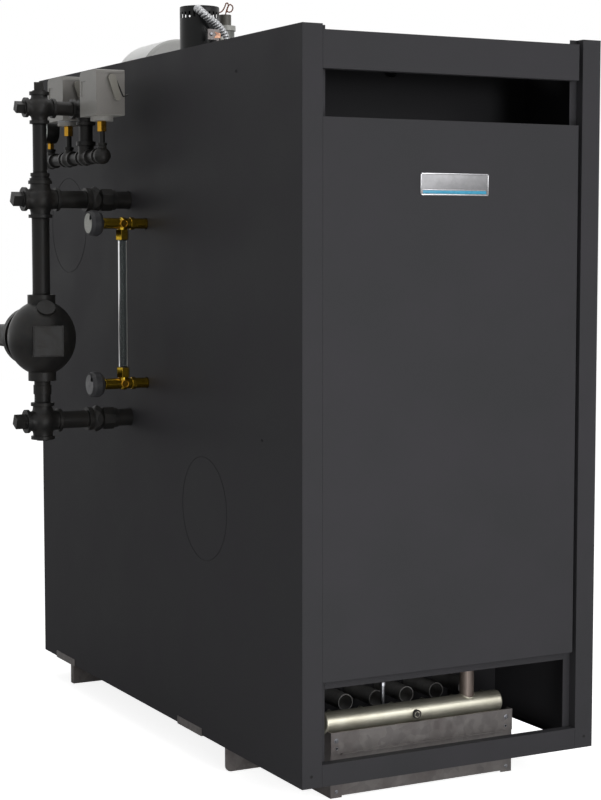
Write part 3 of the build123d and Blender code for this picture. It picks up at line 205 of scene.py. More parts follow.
# Steel, zinc plated: pale and slightly bluish, for screws and small plates
zincPlate = mottledSurface(
    "zinc_plated_steel", "#b0b1b6", "#93949a", patchMm=8, grainMm=0.8, speckle=0.06,
    reliefMm=0.02, roughness=(0.26, 0.4), metallic=1.0, edgeMm=0.3)

# Aluminium, rolled and anodised: satin pale grey
satinAluminium = mottledSurface(
    "anodised_aluminium", "#8a8a8c", "#808082", patchMm=20, grainMm=0.9, speckle=0.04,
    reliefMm=0.008, roughness=(0.38, 0.44), metallic=0.6, edgeMm=0.3)

# Aluminium, drawn and polished: brighter, for the plate's rim
brightRim = mottledSurface(
    "polished_aluminium_rim", "#b6b6b9", "#a8a8ab", patchMm=12, grainMm=0.9, speckle=0.03,
    reliefMm=0.005, roughness=(0.22, 0.3), metallic=0.8, edgeMm=0.3)

# Vitreous enamel fired on the plate: clear blue and glossy
blueEnamel = mottledSurface(
    "fired_blue_enamel", "#3c96b9", "#4aa0c0", patchMm=16, grainMm=0.8, speckle=0.03,
    reliefMm=0.004, roughness=(0.24, 0.3), specular=0.3, edgeMm=0.2)

# Copper strip, rolled: warm orange, tarnished in patches
copperStrip = mottledSurface(
    "rolled_copper_strip", "#a07c68", "#75574a", patchMm=9, grainMm=0.8, speckle=0.06,
    reliefMm=0.02, roughness=(0.3, 0.44), metallic=1.0, edgeMm=0.3)

# Glazed steatite, fired: white and smooth
glazedCeramic = mottledSurface(
    "glazed_ceramic", "#dcdad2", "#cfcdc5", patchMm=6, grainMm=0.7, speckle=0.03,
    reliefMm=0.01, roughness=(0.22, 0.3), edgeMm=0.3)

# Copper wire with a brown lacquer, drawn: warm and slightly glossy
lacqueredWire = mottledSurface(
    "lacquered_copper_wire", "#8a4510", "#6e370e", patchMm=6, grainMm=0.7, speckle=0.08,
    reliefMm=0.01, roughness=(0.4, 0.5), specular=0.2, edgeMm=0.2)

# Paper card behind the gauge's lens, printed: matt white with black figures
dialCard = mottledSurface(
    "printed_dial_card", "#dcdbd4", "#d6d5ce", patchMm=20, grainMm=0.8, speckle=0.02,
    reliefMm=0.003, roughness=(0.7, 0.8), edgeMm=0.1)

# Bright line down the gauge glass, not a real coating: it stands for the light reflected on the tube
glassGlint = mottledSurface(
    "gauge_glass_glint", "#ffffff", "#fafafa", patchMm=12, grainMm=0.8, speckle=0.01,
    reliefMm=0.002, roughness=(0.1, 0.14), metallic=1.0, edgeMm=0.2)


# Galvanised steel sheet, hot dipped: zinc crystals a centimetre across, each at its own shade and gloss
def makeGalvanised(name, look):
    material, tree, shader, place = newSurface(name)
    crystals = addNode(tree, "ShaderNodeTexVoronoi", {
        "Vector": place, "Scale": 1000 / look["crystalMm"], "Randomness": 1.0}, feature="F1")
    tone = addNode(tree, "ShaderNodeSeparateColor", {"Color": crystals.outputs["Color"]})
    stains = addNoise(tree, place, look["stainMm"], 5.0, 0.62)
    spangle = mixColours(tree, tone.outputs["Red"], look["darkCrystal"], look["paleCrystal"])
    stainShare = mapRange(tree, stains, 0.46, 0.7, 0.0, look["stainShare"])
    colour = mixColours(tree, stainShare, spangle, look["stain"])
    gloss = mapRange(tree, tone.outputs["Green"], 0.0, 1.0, *look["roughness"])
    dressShader(tree, shader, colour, gloss, crystals.outputs["Distance"], look["reliefMm"], look["metallic"],
                edgeMm=0.6)
    return material


galvanisedSheet = makeGalvanised("galvanised_steel_sheet", {
    "crystalMm": 15, "stainMm": 90, "stainShare": 0.7, "darkCrystal": "#736f6e", "paleCrystal": "#817d7b",
    "stain": "#655e5d", "roughness": (0.4, 0.56), "reliefMm": 0.02, "metallic": 0.55})
burnerSteel = makeGalvanised("aluminised_burner_steel", {
    "crystalMm": 8, "stainMm": 60, "stainShare": 0.8, "darkCrystal": "#8c8b8a", "paleCrystal": "#9a9997",
    "stain": "#7a7673", "roughness": (0.4, 0.55), "reliefMm": 0.02, "metallic": 0.0})
conduitZinc = makeGalvanised("zinc_coated_conduit_strip", {
    "crystalMm": 3, "stainMm": 20, "stainShare": 0.4, "darkCrystal": "#a0a1a3", "paleCrystal": "#bcbdbf",
    "stain": "#858484", "roughness": (0.26, 0.38), "reliefMm": 0.01, "metallic": 0.8})


# Drawn steel pipe, brushed along or round its length: fine scratches in one direction
def makeBrushed(name, look):
    material, tree, shader, place = newSurface(name)
    stretch = addNode(tree, "ShaderNodeMapping", {
        "Vector": place, "Scale": [1000 / size for size in look["scratchMm"]]})
    scratches = addNoise(tree, stretch.outputs["Vector"], 1000, 3.0, 0.6)
    stains = addNoise(tree, place, look["stainMm"], 4.0)
    streak = mixColours(tree, scratches, look["dark"], look["pale"])
    stainShare = mapRange(tree, stains, 0.45, 0.7, 0.0, look["stainShare"])
    colour = mixColours(tree, stainShare, streak, look["stain"])
    gloss = mapRange(tree, scratches, 0.3, 0.7, *look["roughness"])
    dressShader(tree, shader, colour, gloss, scratches, look["reliefMm"], look["metallic"])
    return material


brightPipe = makeBrushed("drawn_steel_pipe", {
    "scratchMm": (30, 1.4, 1.4), "stainMm": 70, "stainShare": 0.45, "dark": "#c0bdad", "pale": "#e0ddcd",
    "stain": "#a09986", "roughness": (0.36, 0.5), "reliefMm": 0.02, "metallic": 0.85})
uprightPipe = makeBrushed("drawn_steel_upright", {
    "scratchMm": (2.2, 2.2, 60), "stainMm": 50, "stainShare": 0.6, "dark": "#62564f", "pale": "#978b84",
    "stain": "#5a4b43", "roughness": (0.34, 0.5), "reliefMm": 0.04, "metallic": 0.6})

# Borosilicate glass, drawn tube: clear, with its gloss on the outer skin, as a thin wall bends little light
drawnGlass, _, glassShader, _ = newSurface("drawn_borosilicate_glass")
for socket, value in (
        ("Base Color", toLinear("#e9efee")), ("Transmission Weight", 1.0), ("Roughness", 0.02),
        ("IOR", 1.04), ("Coat Weight", 0.15), ("Coat Roughness", 0.04), ("Coat IOR", 1.47)):
    glassShader.inputs[socket].default_value = value
print("materials made")


# Places are read from the frame, in millimetres
def lowOf(name):
    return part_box(name)[0] / mm


def highOf(name):
    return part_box(name)[1] / mm


def middleOf(name):
    return (lowOf(name) + highOf(name)) / 2


# The covers of the pressure controls, and how far their stem stands behind the middle of cover and lever
controlCover = {"depth": 105.0, "width": 71.5, "stemShift": 3.25}


# Baked enamel on drawn steel covers: pale warm grey and smooth, with a black pointer close to the front. The
# front face is painted a shade darker than the sides: painted shade, as the front catches less light.
def makeControlEnamel(name, node):
    front = highOf(node).y - controlCover["depth"]
    return mottledSurface(
        name, "#a9a7a2", "#b0aeaa", patchMm=60, grainMm=1.2, speckle=0.03, reliefMm=0.015,
        roughness=(0.38, 0.46), specular=0.3, edgeMm=1.0, zones=(
            # The front face's darker grey is painted shade
            ("Y", front - 0.2, front + 0.4, "#8b8884"),
            ("Y", front - 3.9, front - 0.2, "#1b1a18"),
            ("Y", front - 12, front - 3.9, "#8f8c84")))


# White enamel on spun steel: pale, smooth and slightly dusty, its closed front painted grey as painted shade
flueFront = lowOf("flue_outlet").y
flueEnamel = mottledSurface(
    "white_enamelled_steel", "#fbfbf9", "#f3f3f1", patchMm=90, grainMm=3.0, speckle=0.02,
    reliefMm=0.02, roughness=(0.3, 0.4), specular=0.6, edgeMm=1.5,
    # The grey band over the closed front is painted shade
    zones=(("Y", flueFront - 5, flueFront + 9, "#b4b4b1"),))

# Relief valve, cast and painted: grey body, a pale machined band, a dark olive cap
reliefLow = lowOf("relief_valve").z
reliefPaint = mottledSurface(
    "painted_valve_casting", "#7f807c", "#72736f", patchMm=16, grainMm=1.2, speckle=0.08,
    reliefMm=0.04, roughness=(0.36, 0.5), metallic=0.1, specular=0.4, edgeMm=0.8, zones=(
        ("Z", reliefLow + 88, reliefLow + 100.2, "#b9b9b3"),
        ("Z", reliefLow + 100.2, reliefLow + 140, "#5e5c56")))

nodeFinish = {
    powderCoat: (
        "left_side_panel", "right_side_panel", "rear_panel", "roof_panel", "top_front_rail",
        "front_door_panel", "bottom_front_rail", "door_support_rail", "inner_front_panel", "burner_panel"),
    greyIron: ("boiler_block",),
    galvanisedSheet: (
        "middle_base_rail", "rear_base_rail", "base_front_tray", "base_front_channel", "jacket_clips",
        "junction_box", "sensor_bracket"),
    burnerSteel: ("burner_tubes",),
    brightPipe: ("gas_manifold",),
    zincPlate: ("pilot_tube",),
    uprightPipe: ("gas_riser",),
    flueEnamel: ("flue_outlet",),
    makeControlEnamel("baked_enamel_front_cover", "front_pressure_control"): ("front_pressure_control",),
    makeControlEnamel("baked_enamel_rear_cover", "rear_pressure_control"): ("rear_pressure_control",),
    phenolic: ("pressure_gauge",),
    stovedCan: ("slotted_can",),
    reliefPaint: ("relief_valve",),
    conduitZinc: ("can_conduit",),
    lacqueredWire: ("seal_wire",),
    malleableIron: (
        "top_cross", "middle_cross", "bottom_cross", "cross_plugs", "float_chamber", "float_cover",
        "pipe_unions", "top_elbow", "control_tees"),
    blackPipe: ("column_pipes", "pipe_nipples"),
    castBrass: ("upper_gauge_cock", "lower_gauge_cock"),
    milledBrass: ("control_stems",),
    knobPaint: ("upper_cock_knob", "lower_cock_knob"),
    drawnGlass: ("gauge_glass",),
    satinAluminium: ("nameplate",),
}
for finish, names in nodeFinish.items():
    for name in names:
        slots = nodes[name].data.materials
        slots.clear()
        slots.append(finish)
print("frame nodes dressed")


# Mesh helpers: every size in millimetres, every place a matrix in metres
def placeAt(point, direction, turn=0.0):
    spin = Vector(direction).to_track_quat("Z", "Y").to_matrix().to_4x4()
    return Matrix.Translation(Vector(point) * mm) @ spin @ Matrix.Rotation(math.radians(turn), 4, "Z")


def facingLeft(x, y, z):
    # A place whose XY stands upright when it is seen from the boiler's left
    return Matrix(((0, 0, -1, x * mm), (-1, 0, 0, y * mm), (0, 1, 0, z * mm), (0, 0, 0, 1)))


def joinRings(build, before, after, finish=0):
    for index in range(len(before)):
        following = (index + 1) % len(before)
        face = build.faces.new([before[index], before[following], after[following], after[index]])
        face.material_index = finish


def addTurned(build, place, profile, sides=28, finish=0):
    # Pairs of radius and height, turned about the place's own Z
    rings = []
    for radius, height in profile:
        count = 1 if radius == 0 else sides
        angles = [2 * math.pi * index / count for index in range(count)]
        rings.append([build.verts.new(place @ Vector((
            radius * mm * math.cos(angle), radius * mm * math.sin(angle), height * mm))) for angle in angles])
    for low, high in zip(rings, rings[1:]):
        if len(low) + len(high) == 2:
            continue
        for index in range(sides):
            after = index + 1
            corners = [low[index % len(low)], low[after % len(low)],
                       high[after % len(high)], high[index % len(high)]]
            face = build.faces.new(list(dict.fromkeys(corners)))
            face.material_index = finish


def addBlock(build, low, high, edge=0.0, finish=0):
    low, high = Vector(low), Vector(high)
    size = (high - low) * mm
    shape = Matrix.Translation((low + high) / 2 * mm) @ Matrix.Diagonal((*size, 1))
    verts = bmesh.ops.create_cube(build, size=1.0, matrix=shape)["verts"]
    for face in {face for vert in verts for face in vert.link_faces}:
        face.material_index = finish
    if edge:
        edges = list({side for vert in verts for side in vert.link_edges})
        bmesh.ops.bevel(build, geom=edges, offset=edge * mm, segments=2, profile=0.5, affect="EDGES")


def addPlate(build, place, outline, thick, finish=0):
    # A flat outline in the place's XY, made a plate along its Z
    low = [build.verts.new(place @ Vector((x * mm, y * mm, 0))) for x, y in outline]
    high = [build.verts.new(place @ Vector((x * mm, y * mm, thick * mm))) for x, y in outline]
    for ring in (low[::-1], high):
        build.faces.new(ring).material_index = finish
    joinRings(build, low, high, finish)


def addFigures(build, place, words, height, finish=0):
    curve = bpy.data.curves.new("figures", "FONT")
    curve.body = words
    curve.size = height * mm
    curve.align_x = "CENTER"
    curve.align_y = "CENTER"
    curve.extrude = 0.06 * mm
    curve.resolution_u = 3
    holder = bpy.data.objects.new("figures", curve)
    mesh = bpy.data.meshes.new_from_object(holder)
    mesh.transform(place)
    before = len(build.faces)
    build.from_mesh(mesh)
    build.faces.ensure_lookup_table()
    for face in build.faces[before:]:
        face.material_index = finish
    bpy.data.objects.remove(holder)
    bpy.data.meshes.remove(mesh)


def finishPiece(build, name, finishes, body="root", sharpAngle=34):
    mesh = bpy.data.meshes.new(name)
    bmesh.ops.recalc_face_normals(build, faces=build.faces)
    build.to_mesh(mesh)
    build.free()
    for face in mesh.polygons:
        face.use_smooth = True
    mesh.set_sharp_from_angle(angle=math.radians(sharpAngle))
    for finish in finishes:
        mesh.materials.append(finish)
    piece = bpy.data.objects.new(name, mesh)
    bpy.context.scene.collection.objects.link(piece)
    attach(piece, body)
    return piece


# Outside diameters of the pipes; the leg is the short pipe under the float chamber
pipeSizes = {"threeQuarter": 26.7, "inch": 33.4, "inchQuarter": 42.2, "leg": 39.0}

# Nameplate: bright rim, grey field and blue stripe
nameplateSettings = {
    "rim": 3.2, "rimEdge": 0.5, "field": 0.7, "fieldEdge": 0.2, "stripe": (4.0, 10.6), "line": (11.4, 12.6),
    "stripeInset": 6.0, "enamel": 0.12, "enamelRoot": 0.2, "enamelEdge": 0.04,
}


def makeNameplate(settings):
    low, high = lowOf("nameplate"), highOf("nameplate")
    rim, field = settings["rim"], low.y + settings["field"]
    build = bmesh.new()
    addBlock(build, (low.x, field, low.z), high, settings["fieldEdge"])
    for x0, x1, z0, z1 in (
            (low.x, high.x, low.z, low.z + rim), (low.x, high.x, high.z - rim, high.z),
            (low.x, low.x + rim, low.z, high.z), (high.x - rim, high.x, low.z, high.z)):
        addBlock(build, (x0, low.y, z0), (x1, high.y, z1), settings["rimEdge"], 1)
    left, right = low.x + settings["stripeInset"], high.x - settings["stripeInset"]
    skin, root, edge = field - settings["enamel"], field + settings["enamelRoot"], settings["enamelEdge"]
    for (start, end), finish in ((settings["stripe"], 2), (settings["line"], 1)):
        addBlock(build, (left, skin, low.z + start), (right, root, low.z + end), edge, finish)
    plate = finishPiece(build, "bare_nameplate", (satinAluminium, brightRim, blueEnamel))
    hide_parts("nameplate")


makeNameplate(nameplateSettings)
print("nameplate made")


# Sheet-metal screws: six-sided head on a washer, with its turned top
screwSettings = {"washer": 5.2, "flats": 3.9, "head": 3.4, "washerThick": 0.9, "dish": 0.5}


def addScrew(build, point, direction, scale=1.0):
    place = placeAt(point, direction, turn=(point[0] + point[2]) * 7 % 60)
    washer, flats, head, thick, dish = [size * scale for size in screwSettings.values()]
    addTurned(build, place, [
        (washer, 0), (washer, thick * 0.6), (washer * 0.9, thick), (flats, thick)], 20)
    addTurned(build, place, [
        (flats, thick * 0.5), (flats, head * 0.85), (flats * 0.84, head), (flats * 0.5, head),
        (flats * 0.42, head - dish), (0, head - dish)], 6)


# Punched hole in sheet: a thin drawn lip round a dark middle, which is the piece's second finish. The dark
# middle is a black disc of painted shade, standing for the shaded inside of the hole
def addHole(build, point, direction, radius):
    place = placeAt(point, direction)
    addTurned(build, place, [
        (radius + 0.9, 0), (radius + 0.7, 0.25), (radius, 0.3), (radius - 0.2, 0.05)], 20)
    addTurned(build, place, [(radius - 0.2, 0.06), (radius * 0.6, 0.04), (0, 0.03)], 20, 1)


jacketSettings = {
    "sideScrews": ((-233.9, 783.3), (-111.9, 1572.3)), "leftScale": 0.7, "rightScale": 0.5,
    "rearScrewInset": 14.0, "rearScrewPitch": 250.0, "postHole": (348.0, 95.0, 3.4),
}


def makeJacketScrews(settings):
    left, right = lowOf("left_side_panel"), highOf("right_side_panel")
    build = bmesh.new()
    for y, z in settings["sideScrews"]:
        addScrew(build, (left.x, y, z), (-1, 0, 0), settings["leftScale"])
        addScrew(build, (right.x, y, z), (1, 0, 0), settings["rightScale"])
    inset = settings["rearScrewInset"]
    start, end = lowOf("rear_panel").z + 2 * inset, highOf("rear_panel").z - 2 * inset
    count = int((end - start + 4 * inset) / settings["rearScrewPitch"])
    for index in range(count + 1):
        z = start + (end - start) * index / count
        for x in (left.x + inset / 2, right.x - inset / 2):
            addScrew(build, (x, right.y, z), (0, 1, 0))
    finishPiece(build, "jacket_screws", (powderCoat,))

    holes = bmesh.new()
    x, z, radius = settings["postHole"]
    for side in (-1, 1):
        addHole(holes, (side * x, left.y, z), (0, -1, 0), radius)
    # The black middles of the holes are painted shade
    finishPiece(holes, "post_holes", (powderCoat, phenolic))


makeJacketScrews(jacketSettings)


baseSettings = {
    "channelScrews": ((-222.4, 127.0), (218.8, 128.0)),
    "channelHoles": ((-221.1, 109.6), (217.7, 107.3)), "holeRadius": 2.6,
    "trayScrews": ((-220.9, 13.5), (220.9, 13.5)), "trayScale": 0.8,
    "channelSheet": 2.0,
}


def makeBaseScrews(settings):
    web = highOf("base_front_channel").y - settings["channelSheet"]
    tray = lowOf("base_front_tray").y
    forward = (0, -1, 0)
    build = bmesh.new()
    for x, z in settings["channelScrews"]:
        addScrew(build, (x, web, z), forward)
    for x, z in settings["trayScrews"]:
        addScrew(build, (x, tray, z), forward, settings["trayScale"])
    for x, z in settings["channelHoles"]:
        addHole(build, (x, web, z), forward, settings["holeRadius"])
    # The black middles of the holes are painted shade
    finishPiece(build, "base_screws", (zincPlate, phenolic))


makeBaseScrews(baseSettings)
print("screws made")


# Upper opening: a round head on the inner front, behind the top rail
openingSettings = {"place": (2.8, 1592.0), "profile": ((20, 0), (20, 3), (17, 5), (15, 14), (8, 19), (0, 20))}


def makeOpeningHead(settings):
    x, z = settings["place"]
    build = bmesh.new()
    addTurned(build, placeAt((x, lowOf("inner_front_panel").y, z), (0, -1, 0)), settings["profile"])
    finishPiece(build, "inner_front_cap", (phenolic,))


makeOpeningHead(openingSettings)


# Gas parts: the fillet weld between riser and manifold, the pilot's tip, and the plug in the manifold's boss
gasSettings = {
    "bead": 1.7, "steps": 72, "ripple": 0.22, "ripples": 40, "sides": 8, "bossReach": 5.0,
    "tipHeight": 12.0,
    "tip": ((5.6, 0), (7.4, 0.8), (7.4, 9.4), (6.6, 11), (4.6, 12.2), (3.4, 12.2), (3.2, 9.0), (0, 9.0)),
    "plugX": -11.0, "plug": ((10.3, -4.0), (10.3, 0.2), (9.4, 0.7), (7.0, 0.7), (7.0, 0.2)),
    "square": ((6.4, 0.1), (6.4, 1.6), (5.6, 2.2), (0, 2.2)), "squareTurn": 15,
}


def makeGasDetails(settings):
    riser = middleOf("gas_riser")
    low, top = lowOf("gas_manifold"), highOf("gas_manifold").z
    pipe, barrel = pipeSizes["inch"] / 2, (top - low.z) / 2
    axis = Vector((riser.x, low.y + settings["bossReach"] + barrel, top - barrel))
    build = bmesh.new()
    rings = []
    for step in range(settings["steps"]):
        angle = 2 * math.pi * step / settings["steps"]
        out = Vector((math.cos(angle), math.sin(angle), 0))
        across = pipe * out.y
        point = axis + out * pipe + Vector((0, 0, math.sqrt(barrel ** 2 - across ** 2)))
        bead = settings["bead"] + settings["ripple"] * math.sin(settings["ripples"] * angle)
        ring = []
        for side in range(settings["sides"]):
            turn = 2 * math.pi * side / settings["sides"]
            offset = out * math.cos(turn) + Vector((0, 0, math.sin(turn)))
            ring.append(build.verts.new((point + offset * bead) * mm))
        rings.append(ring)
    for before, after in zip(rings, rings[1:] + rings[:1]):
        joinRings(build, before, after)
    finishPiece(build, "riser_weld", (brightPipe,), sharpAngle=60)

    tip = bmesh.new()
    pilot = middleOf("pilot_tube")
    foot = (pilot.x, pilot.y, highOf("pilot_tube").z - settings["tipHeight"])
    addTurned(tip, placeAt(foot, (0, 0, 1)), settings["tip"], 24)
    finishPiece(tip, "pilot_tip", (zincPlate,))

    plug = bmesh.new()
    boss = (settings["plugX"], low.y, axis.z)
    addTurned(plug, placeAt(boss, (0, -1, 0)), settings["plug"])
    addTurned(plug, placeAt(boss, (0, -1, 0), settings["squareTurn"]), settings["square"], 4)
    finishPiece(plug, "manifold_plug", (greyIron,))


makeGasDetails(gasSettings)
print("gas details made")


# Pipe threads: what shows of them beside each fitting, drawn a little coarser than they are
threadSettings = {
    "pitch": 2.2, "turns": 4, "height": 0.55, "root": -0.15, "sides": 36,
    "bushing": 18, "teeArm": 33.0, "teeAxis": 20.35,
}


def addThread(build, point, direction, diameter, settings):
    pitch, turns = settings["pitch"], settings["turns"]
    root = diameter / 2 + settings["root"]
    profile = []
    for turn in range(turns):
        crest = diameter / 2 + settings["height"] * (1 - turn / turns)
        profile += [(root, turn * pitch), (crest, (turn + 0.5) * pitch)]
    profile.append((root, turns * pitch))
    addTurned(build, placeAt(point, direction), profile, settings["sides"])


def makeThreads(settings):
    top, middle, bottom = middleOf("top_cross"), middleOf("middle_cross"), middleOf("bottom_cross")
    small = highOf("top_cross").x - top.x
    large = highOf("middle_cross").x - middle.x
    control = middleOf("control_stems").x
    threeQuarter, inch, inchQuarter, leg = pipeSizes.values()
    up, down, right, left = (0, 0, 1), (0, 0, -1), (1, 0, 0), (-1, 0, 0)
    ends = [
        ((top.x, top.y, top.z - small), down, inch),
        ((top.x + small, top.y, top.z), right, inch),
        ((lowOf("top_elbow").x, top.y, top.z), left, inch),
        ((control, top.y, lowOf("top_elbow").z), down, inch),
        ((top.x, top.y, middle.z + large + settings["bushing"]), up, inch),
        ((middle.x, middle.y, middle.z - large), down, inchQuarter),
        ((middle.x, middle.y, highOf("float_chamber").z), up, inchQuarter),
        ((middle.x, middle.y, lowOf("float_chamber").z), down, leg),
        ((bottom.x, bottom.y, bottom.z + large), up, leg),
    ]
    for cross in (middle, bottom):
        ends.append(((cross.x + large, cross.y, cross.z), right, inchQuarter))
        ends.append(((lowOf("pipe_unions").x, cross.y, cross.z), left, inchQuarter))
        ends.append(((highOf("pipe_unions").x, cross.y, cross.z), right, inchQuarter))
    arm, teeZ = settings["teeArm"], lowOf("control_tees").z + settings["teeAxis"]
    front = middleOf("front_pressure_control").y + controlCover["stemShift"]
    rear = middleOf("rear_pressure_control").y + controlCover["stemShift"]
    gauge = middleOf("pressure_gauge").y
    for y, ways in ((front, (1,)), (top.y, (-1, 1)), (rear, (-1, 1)), (gauge, (-1,))):
        for way in ways:
            ends.append(((control, y + way * arm, teeZ), (0, way, 0), threeQuarter))
    build = bmesh.new()
    for point, direction, diameter in ends:
        addThread(build, point, direction, diameter, settings)
    finishPiece(build, "pipe_threads", (blackPipe,), sharpAngle=50)


makeThreads(threadSettings)


# Float chamber: six-sided bolts round its rear cover
floatBolts = {"count": 8, "circle": 61.0, "radius": 9.2, "head": 7.0, "flange": 10.0, "spin": 17}


def makeFloatBolts(settings):
    x = middleOf("bottom_cross").x
    y = lowOf("float_cover").y + settings["flange"]
    z = middleOf("float_cover").z
    circle, radius, head = settings["circle"], settings["radius"], settings["head"]
    build = bmesh.new()
    for index in range(settings["count"]):
        angle = 2 * math.pi * (index + 0.5) / settings["count"]
        point = (x + circle * math.cos(angle), y, z + circle * math.sin(angle))
        addTurned(build, placeAt(point, (0, 1, 0), index * settings["spin"]), [
            (radius, 0), (radius, head * 0.8), (radius * 0.86, head), (0, head)], 6)
    finishPiece(build, "float_bolts", (malleableIron,))


makeFloatBolts(floatBolts)
print("column details made")


# Pressure controls: the cover's folded top lip and the clamp ring over the rear boss
controlSettings = {
    "lipHeight": 6.5, "lipStand": 0.18, "lipInset": 0.4, "lipDrop": 3.0, "lipEdge": 0.25,
    "bossHeight": 11.0, "ringHeight": 2.4, "ring": ((26.5, 0), (28.5, 0.4), (28.5, 2.4), (26.5, 2.4)),
}


def makeControlDetails(settings):
    build = bmesh.new()
    inset = settings["lipInset"]
    for name in ("front_pressure_control", "rear_pressure_control"):
        low, high = lowOf(name), highOf(name)
        front, top = high.y - controlCover["depth"], high.z - settings["lipDrop"]
        addBlock(build, (low.x + inset, front - settings["lipStand"], top - settings["lipHeight"]),
                 (low.x + controlCover["width"] - inset, front + inset, top), settings["lipEdge"])
    rear = middleOf("rear_pressure_control").y + controlCover["stemShift"]
    boss = lowOf("rear_pressure_control").z + settings["bossHeight"]
    place = placeAt((middleOf("control_stems").x, rear, boss - settings["ringHeight"]), (0, 0, 1))
    addTurned(build, place, settings["ring"], 40, 1)
    finishPiece(build, "control_details", (nodes["front_pressure_control"].data.materials[0], zincPlate))


makeControlDetails(controlSettings)


# Pressure gauge: printed card, needle and lens inside its case's rim
gaugeSettings = {
    "cardDepth": 3.0, "card": ((28.0, 0.02), (27.8, 0.3), (20, 0.32), (0, 0.32)), "cardFace": 0.32,
    "sweep": (225.0, -45.0), "minor": 31, "tickOut": 25.0, "tickLong": 5.0, "tickShort": 2.6,
    "tickWide": 0.7, "tickThick": 0.12,
    "figures": ("0", "5", "10", "15", "20", "25", "30"), "figureRadius": 16.6, "figureHeight": 4.6,
    "figureLift": 0.38,
    "needle": ((-7.0, -1.4), (0, -1.1), (21.0, -0.2), (21.0, 0.2), (0, 1.1), (-7.0, 1.4)),
    "needleAt": 196.0, "needleLift": 0.9, "needleThick": 0.4,
    "hub": ((3.0, 0.3), (3.0, 1.3), (2.2, 1.7), (0, 1.8)),
    "bezel": ((28.4, 0.1), (28.4, 2.5), (29.6, 2.9), (30.8, 2.9), (31.7, 2.2), (32.0, 0.2)),
    "lens": ((0, 2.7), (14, 2.6), (28.0, 2.1), (28.0, 1.9), (14, 2.35), (0, 2.45)),
}


def makeGauge(settings):
    centre = middleOf("pressure_gauge")
    card = lowOf("pressure_gauge").x + settings["cardDepth"]
    place = placeAt((card, centre.y, centre.z), (-1, 0, 0))
    upright = facingLeft(card, centre.y, centre.z)
    start, end = settings["sweep"]

    def raised(lift, angle=0.0):
        return upright @ Matrix.Translation((0, 0, lift * mm)) @ Matrix.Rotation(math.radians(angle), 4, "Z")

    build = bmesh.new()
    addTurned(build, place, settings["card"], 48)
    for index in range(settings["minor"]):
        angle = start + (end - start) * index / (settings["minor"] - 1)
        long = settings["tickLong"] if index % 5 == 0 else settings["tickShort"]
        out, wide = settings["tickOut"], settings["tickWide"] / 2
        addPlate(build, raised(settings["cardFace"], angle), [
            (out - long, -wide), (out, -wide), (out, wide), (out - long, wide)], settings["tickThick"], 1)
    for index, figure in enumerate(settings["figures"]):
        angle = math.radians(start + (end - start) * index / (len(settings["figures"]) - 1))
        spot = Vector((math.cos(angle), math.sin(angle), 0)) * settings["figureRadius"] * mm
        addFigures(build, raised(settings["figureLift"]) @ Matrix.Translation(spot), figure,
                   settings["figureHeight"], 1)
    addPlate(build, raised(settings["needleLift"], settings["needleAt"]), settings["needle"],
             settings["needleThick"], 1)
    addTurned(build, upright, settings["hub"], 20, 1)
    finishPiece(build, "gauge_card", (dialCard, phenolic))

    for part, finish, slot in (("bezel", zincPlate, "black_enamel"), ("lens", drawnGlass, "glass")):
        build = bmesh.new()
        addTurned(build, place, settings[part], 48)
        finishPiece(build, "gauge_" + part, (finish,))


makeGauge(gaugeSettings)
print("control details made")


# Hand knobs: a face inside the rim, with one square notch in its edge
knobSettings = {
    "face": 23.6, "faceDepth": 1.2, "faceThick": 1.6, "steps": 48, "notchAt": 48, "notchHalf": 19,
    "notchDepth": 0.5, "boss": ((6.0, 1.5), (5.6, 2.4), (2.6, 2.5), (2.2, 1.9), (0, 1.9)),
}


def makeKnobFace(node, body, face, settings):
    centre = middleOf(node)
    upright = facingLeft(lowOf(node).x + settings["faceDepth"], centre.y, centre.z)
    outline = []
    for step in range(settings["steps"]):
        turn = 360 * step / settings["steps"]
        inNotch = abs(turn - settings["notchAt"]) < settings["notchHalf"]
        reach = settings["face"] * (settings["notchDepth"] if inNotch else 1)
        outline.append((reach * math.cos(math.radians(turn)), reach * math.sin(math.radians(turn))))
    build = bmesh.new()
    addPlate(build, upright, outline, settings["faceThick"])
    addTurned(build, upright, settings["boss"], 24)
    finishPiece(build, node + "_face", (face,), body)


makeKnobFace("upper_cock_knob", "upper_knob", bareCasting, knobSettings)
# The lower knob's face is the same casting as the upper one's, given a darker finish: painted shade
makeKnobFace("lower_cock_knob", "lower_knob", satinAluminium, knobSettings)


# Gauge glass: a turned cap on each cock, rubber packing rings, and two lines on the tube. The lines stand
# for reflections in the photograph, and the real tube isn't known to have them.
# A line is a start and an end angle from the tube's left, and its finish.
glassSettings = {
    "cap": ((10.5, 11.0), (10.5, 15.5), (9.5, 16.5), (7.0, 16.5), (6.3, 15.6), (0, 15.6)),
    "lines": ((-23, 26, 0), (132, 156, 1)), "lineSkin": 0.25, "lineRoot": 0.02, "lineSteps": 6,
    "packing": ((11.6, -1.0), (11.6, 0.4), (10.4, 1.8), (10.1, 1.8)),
}


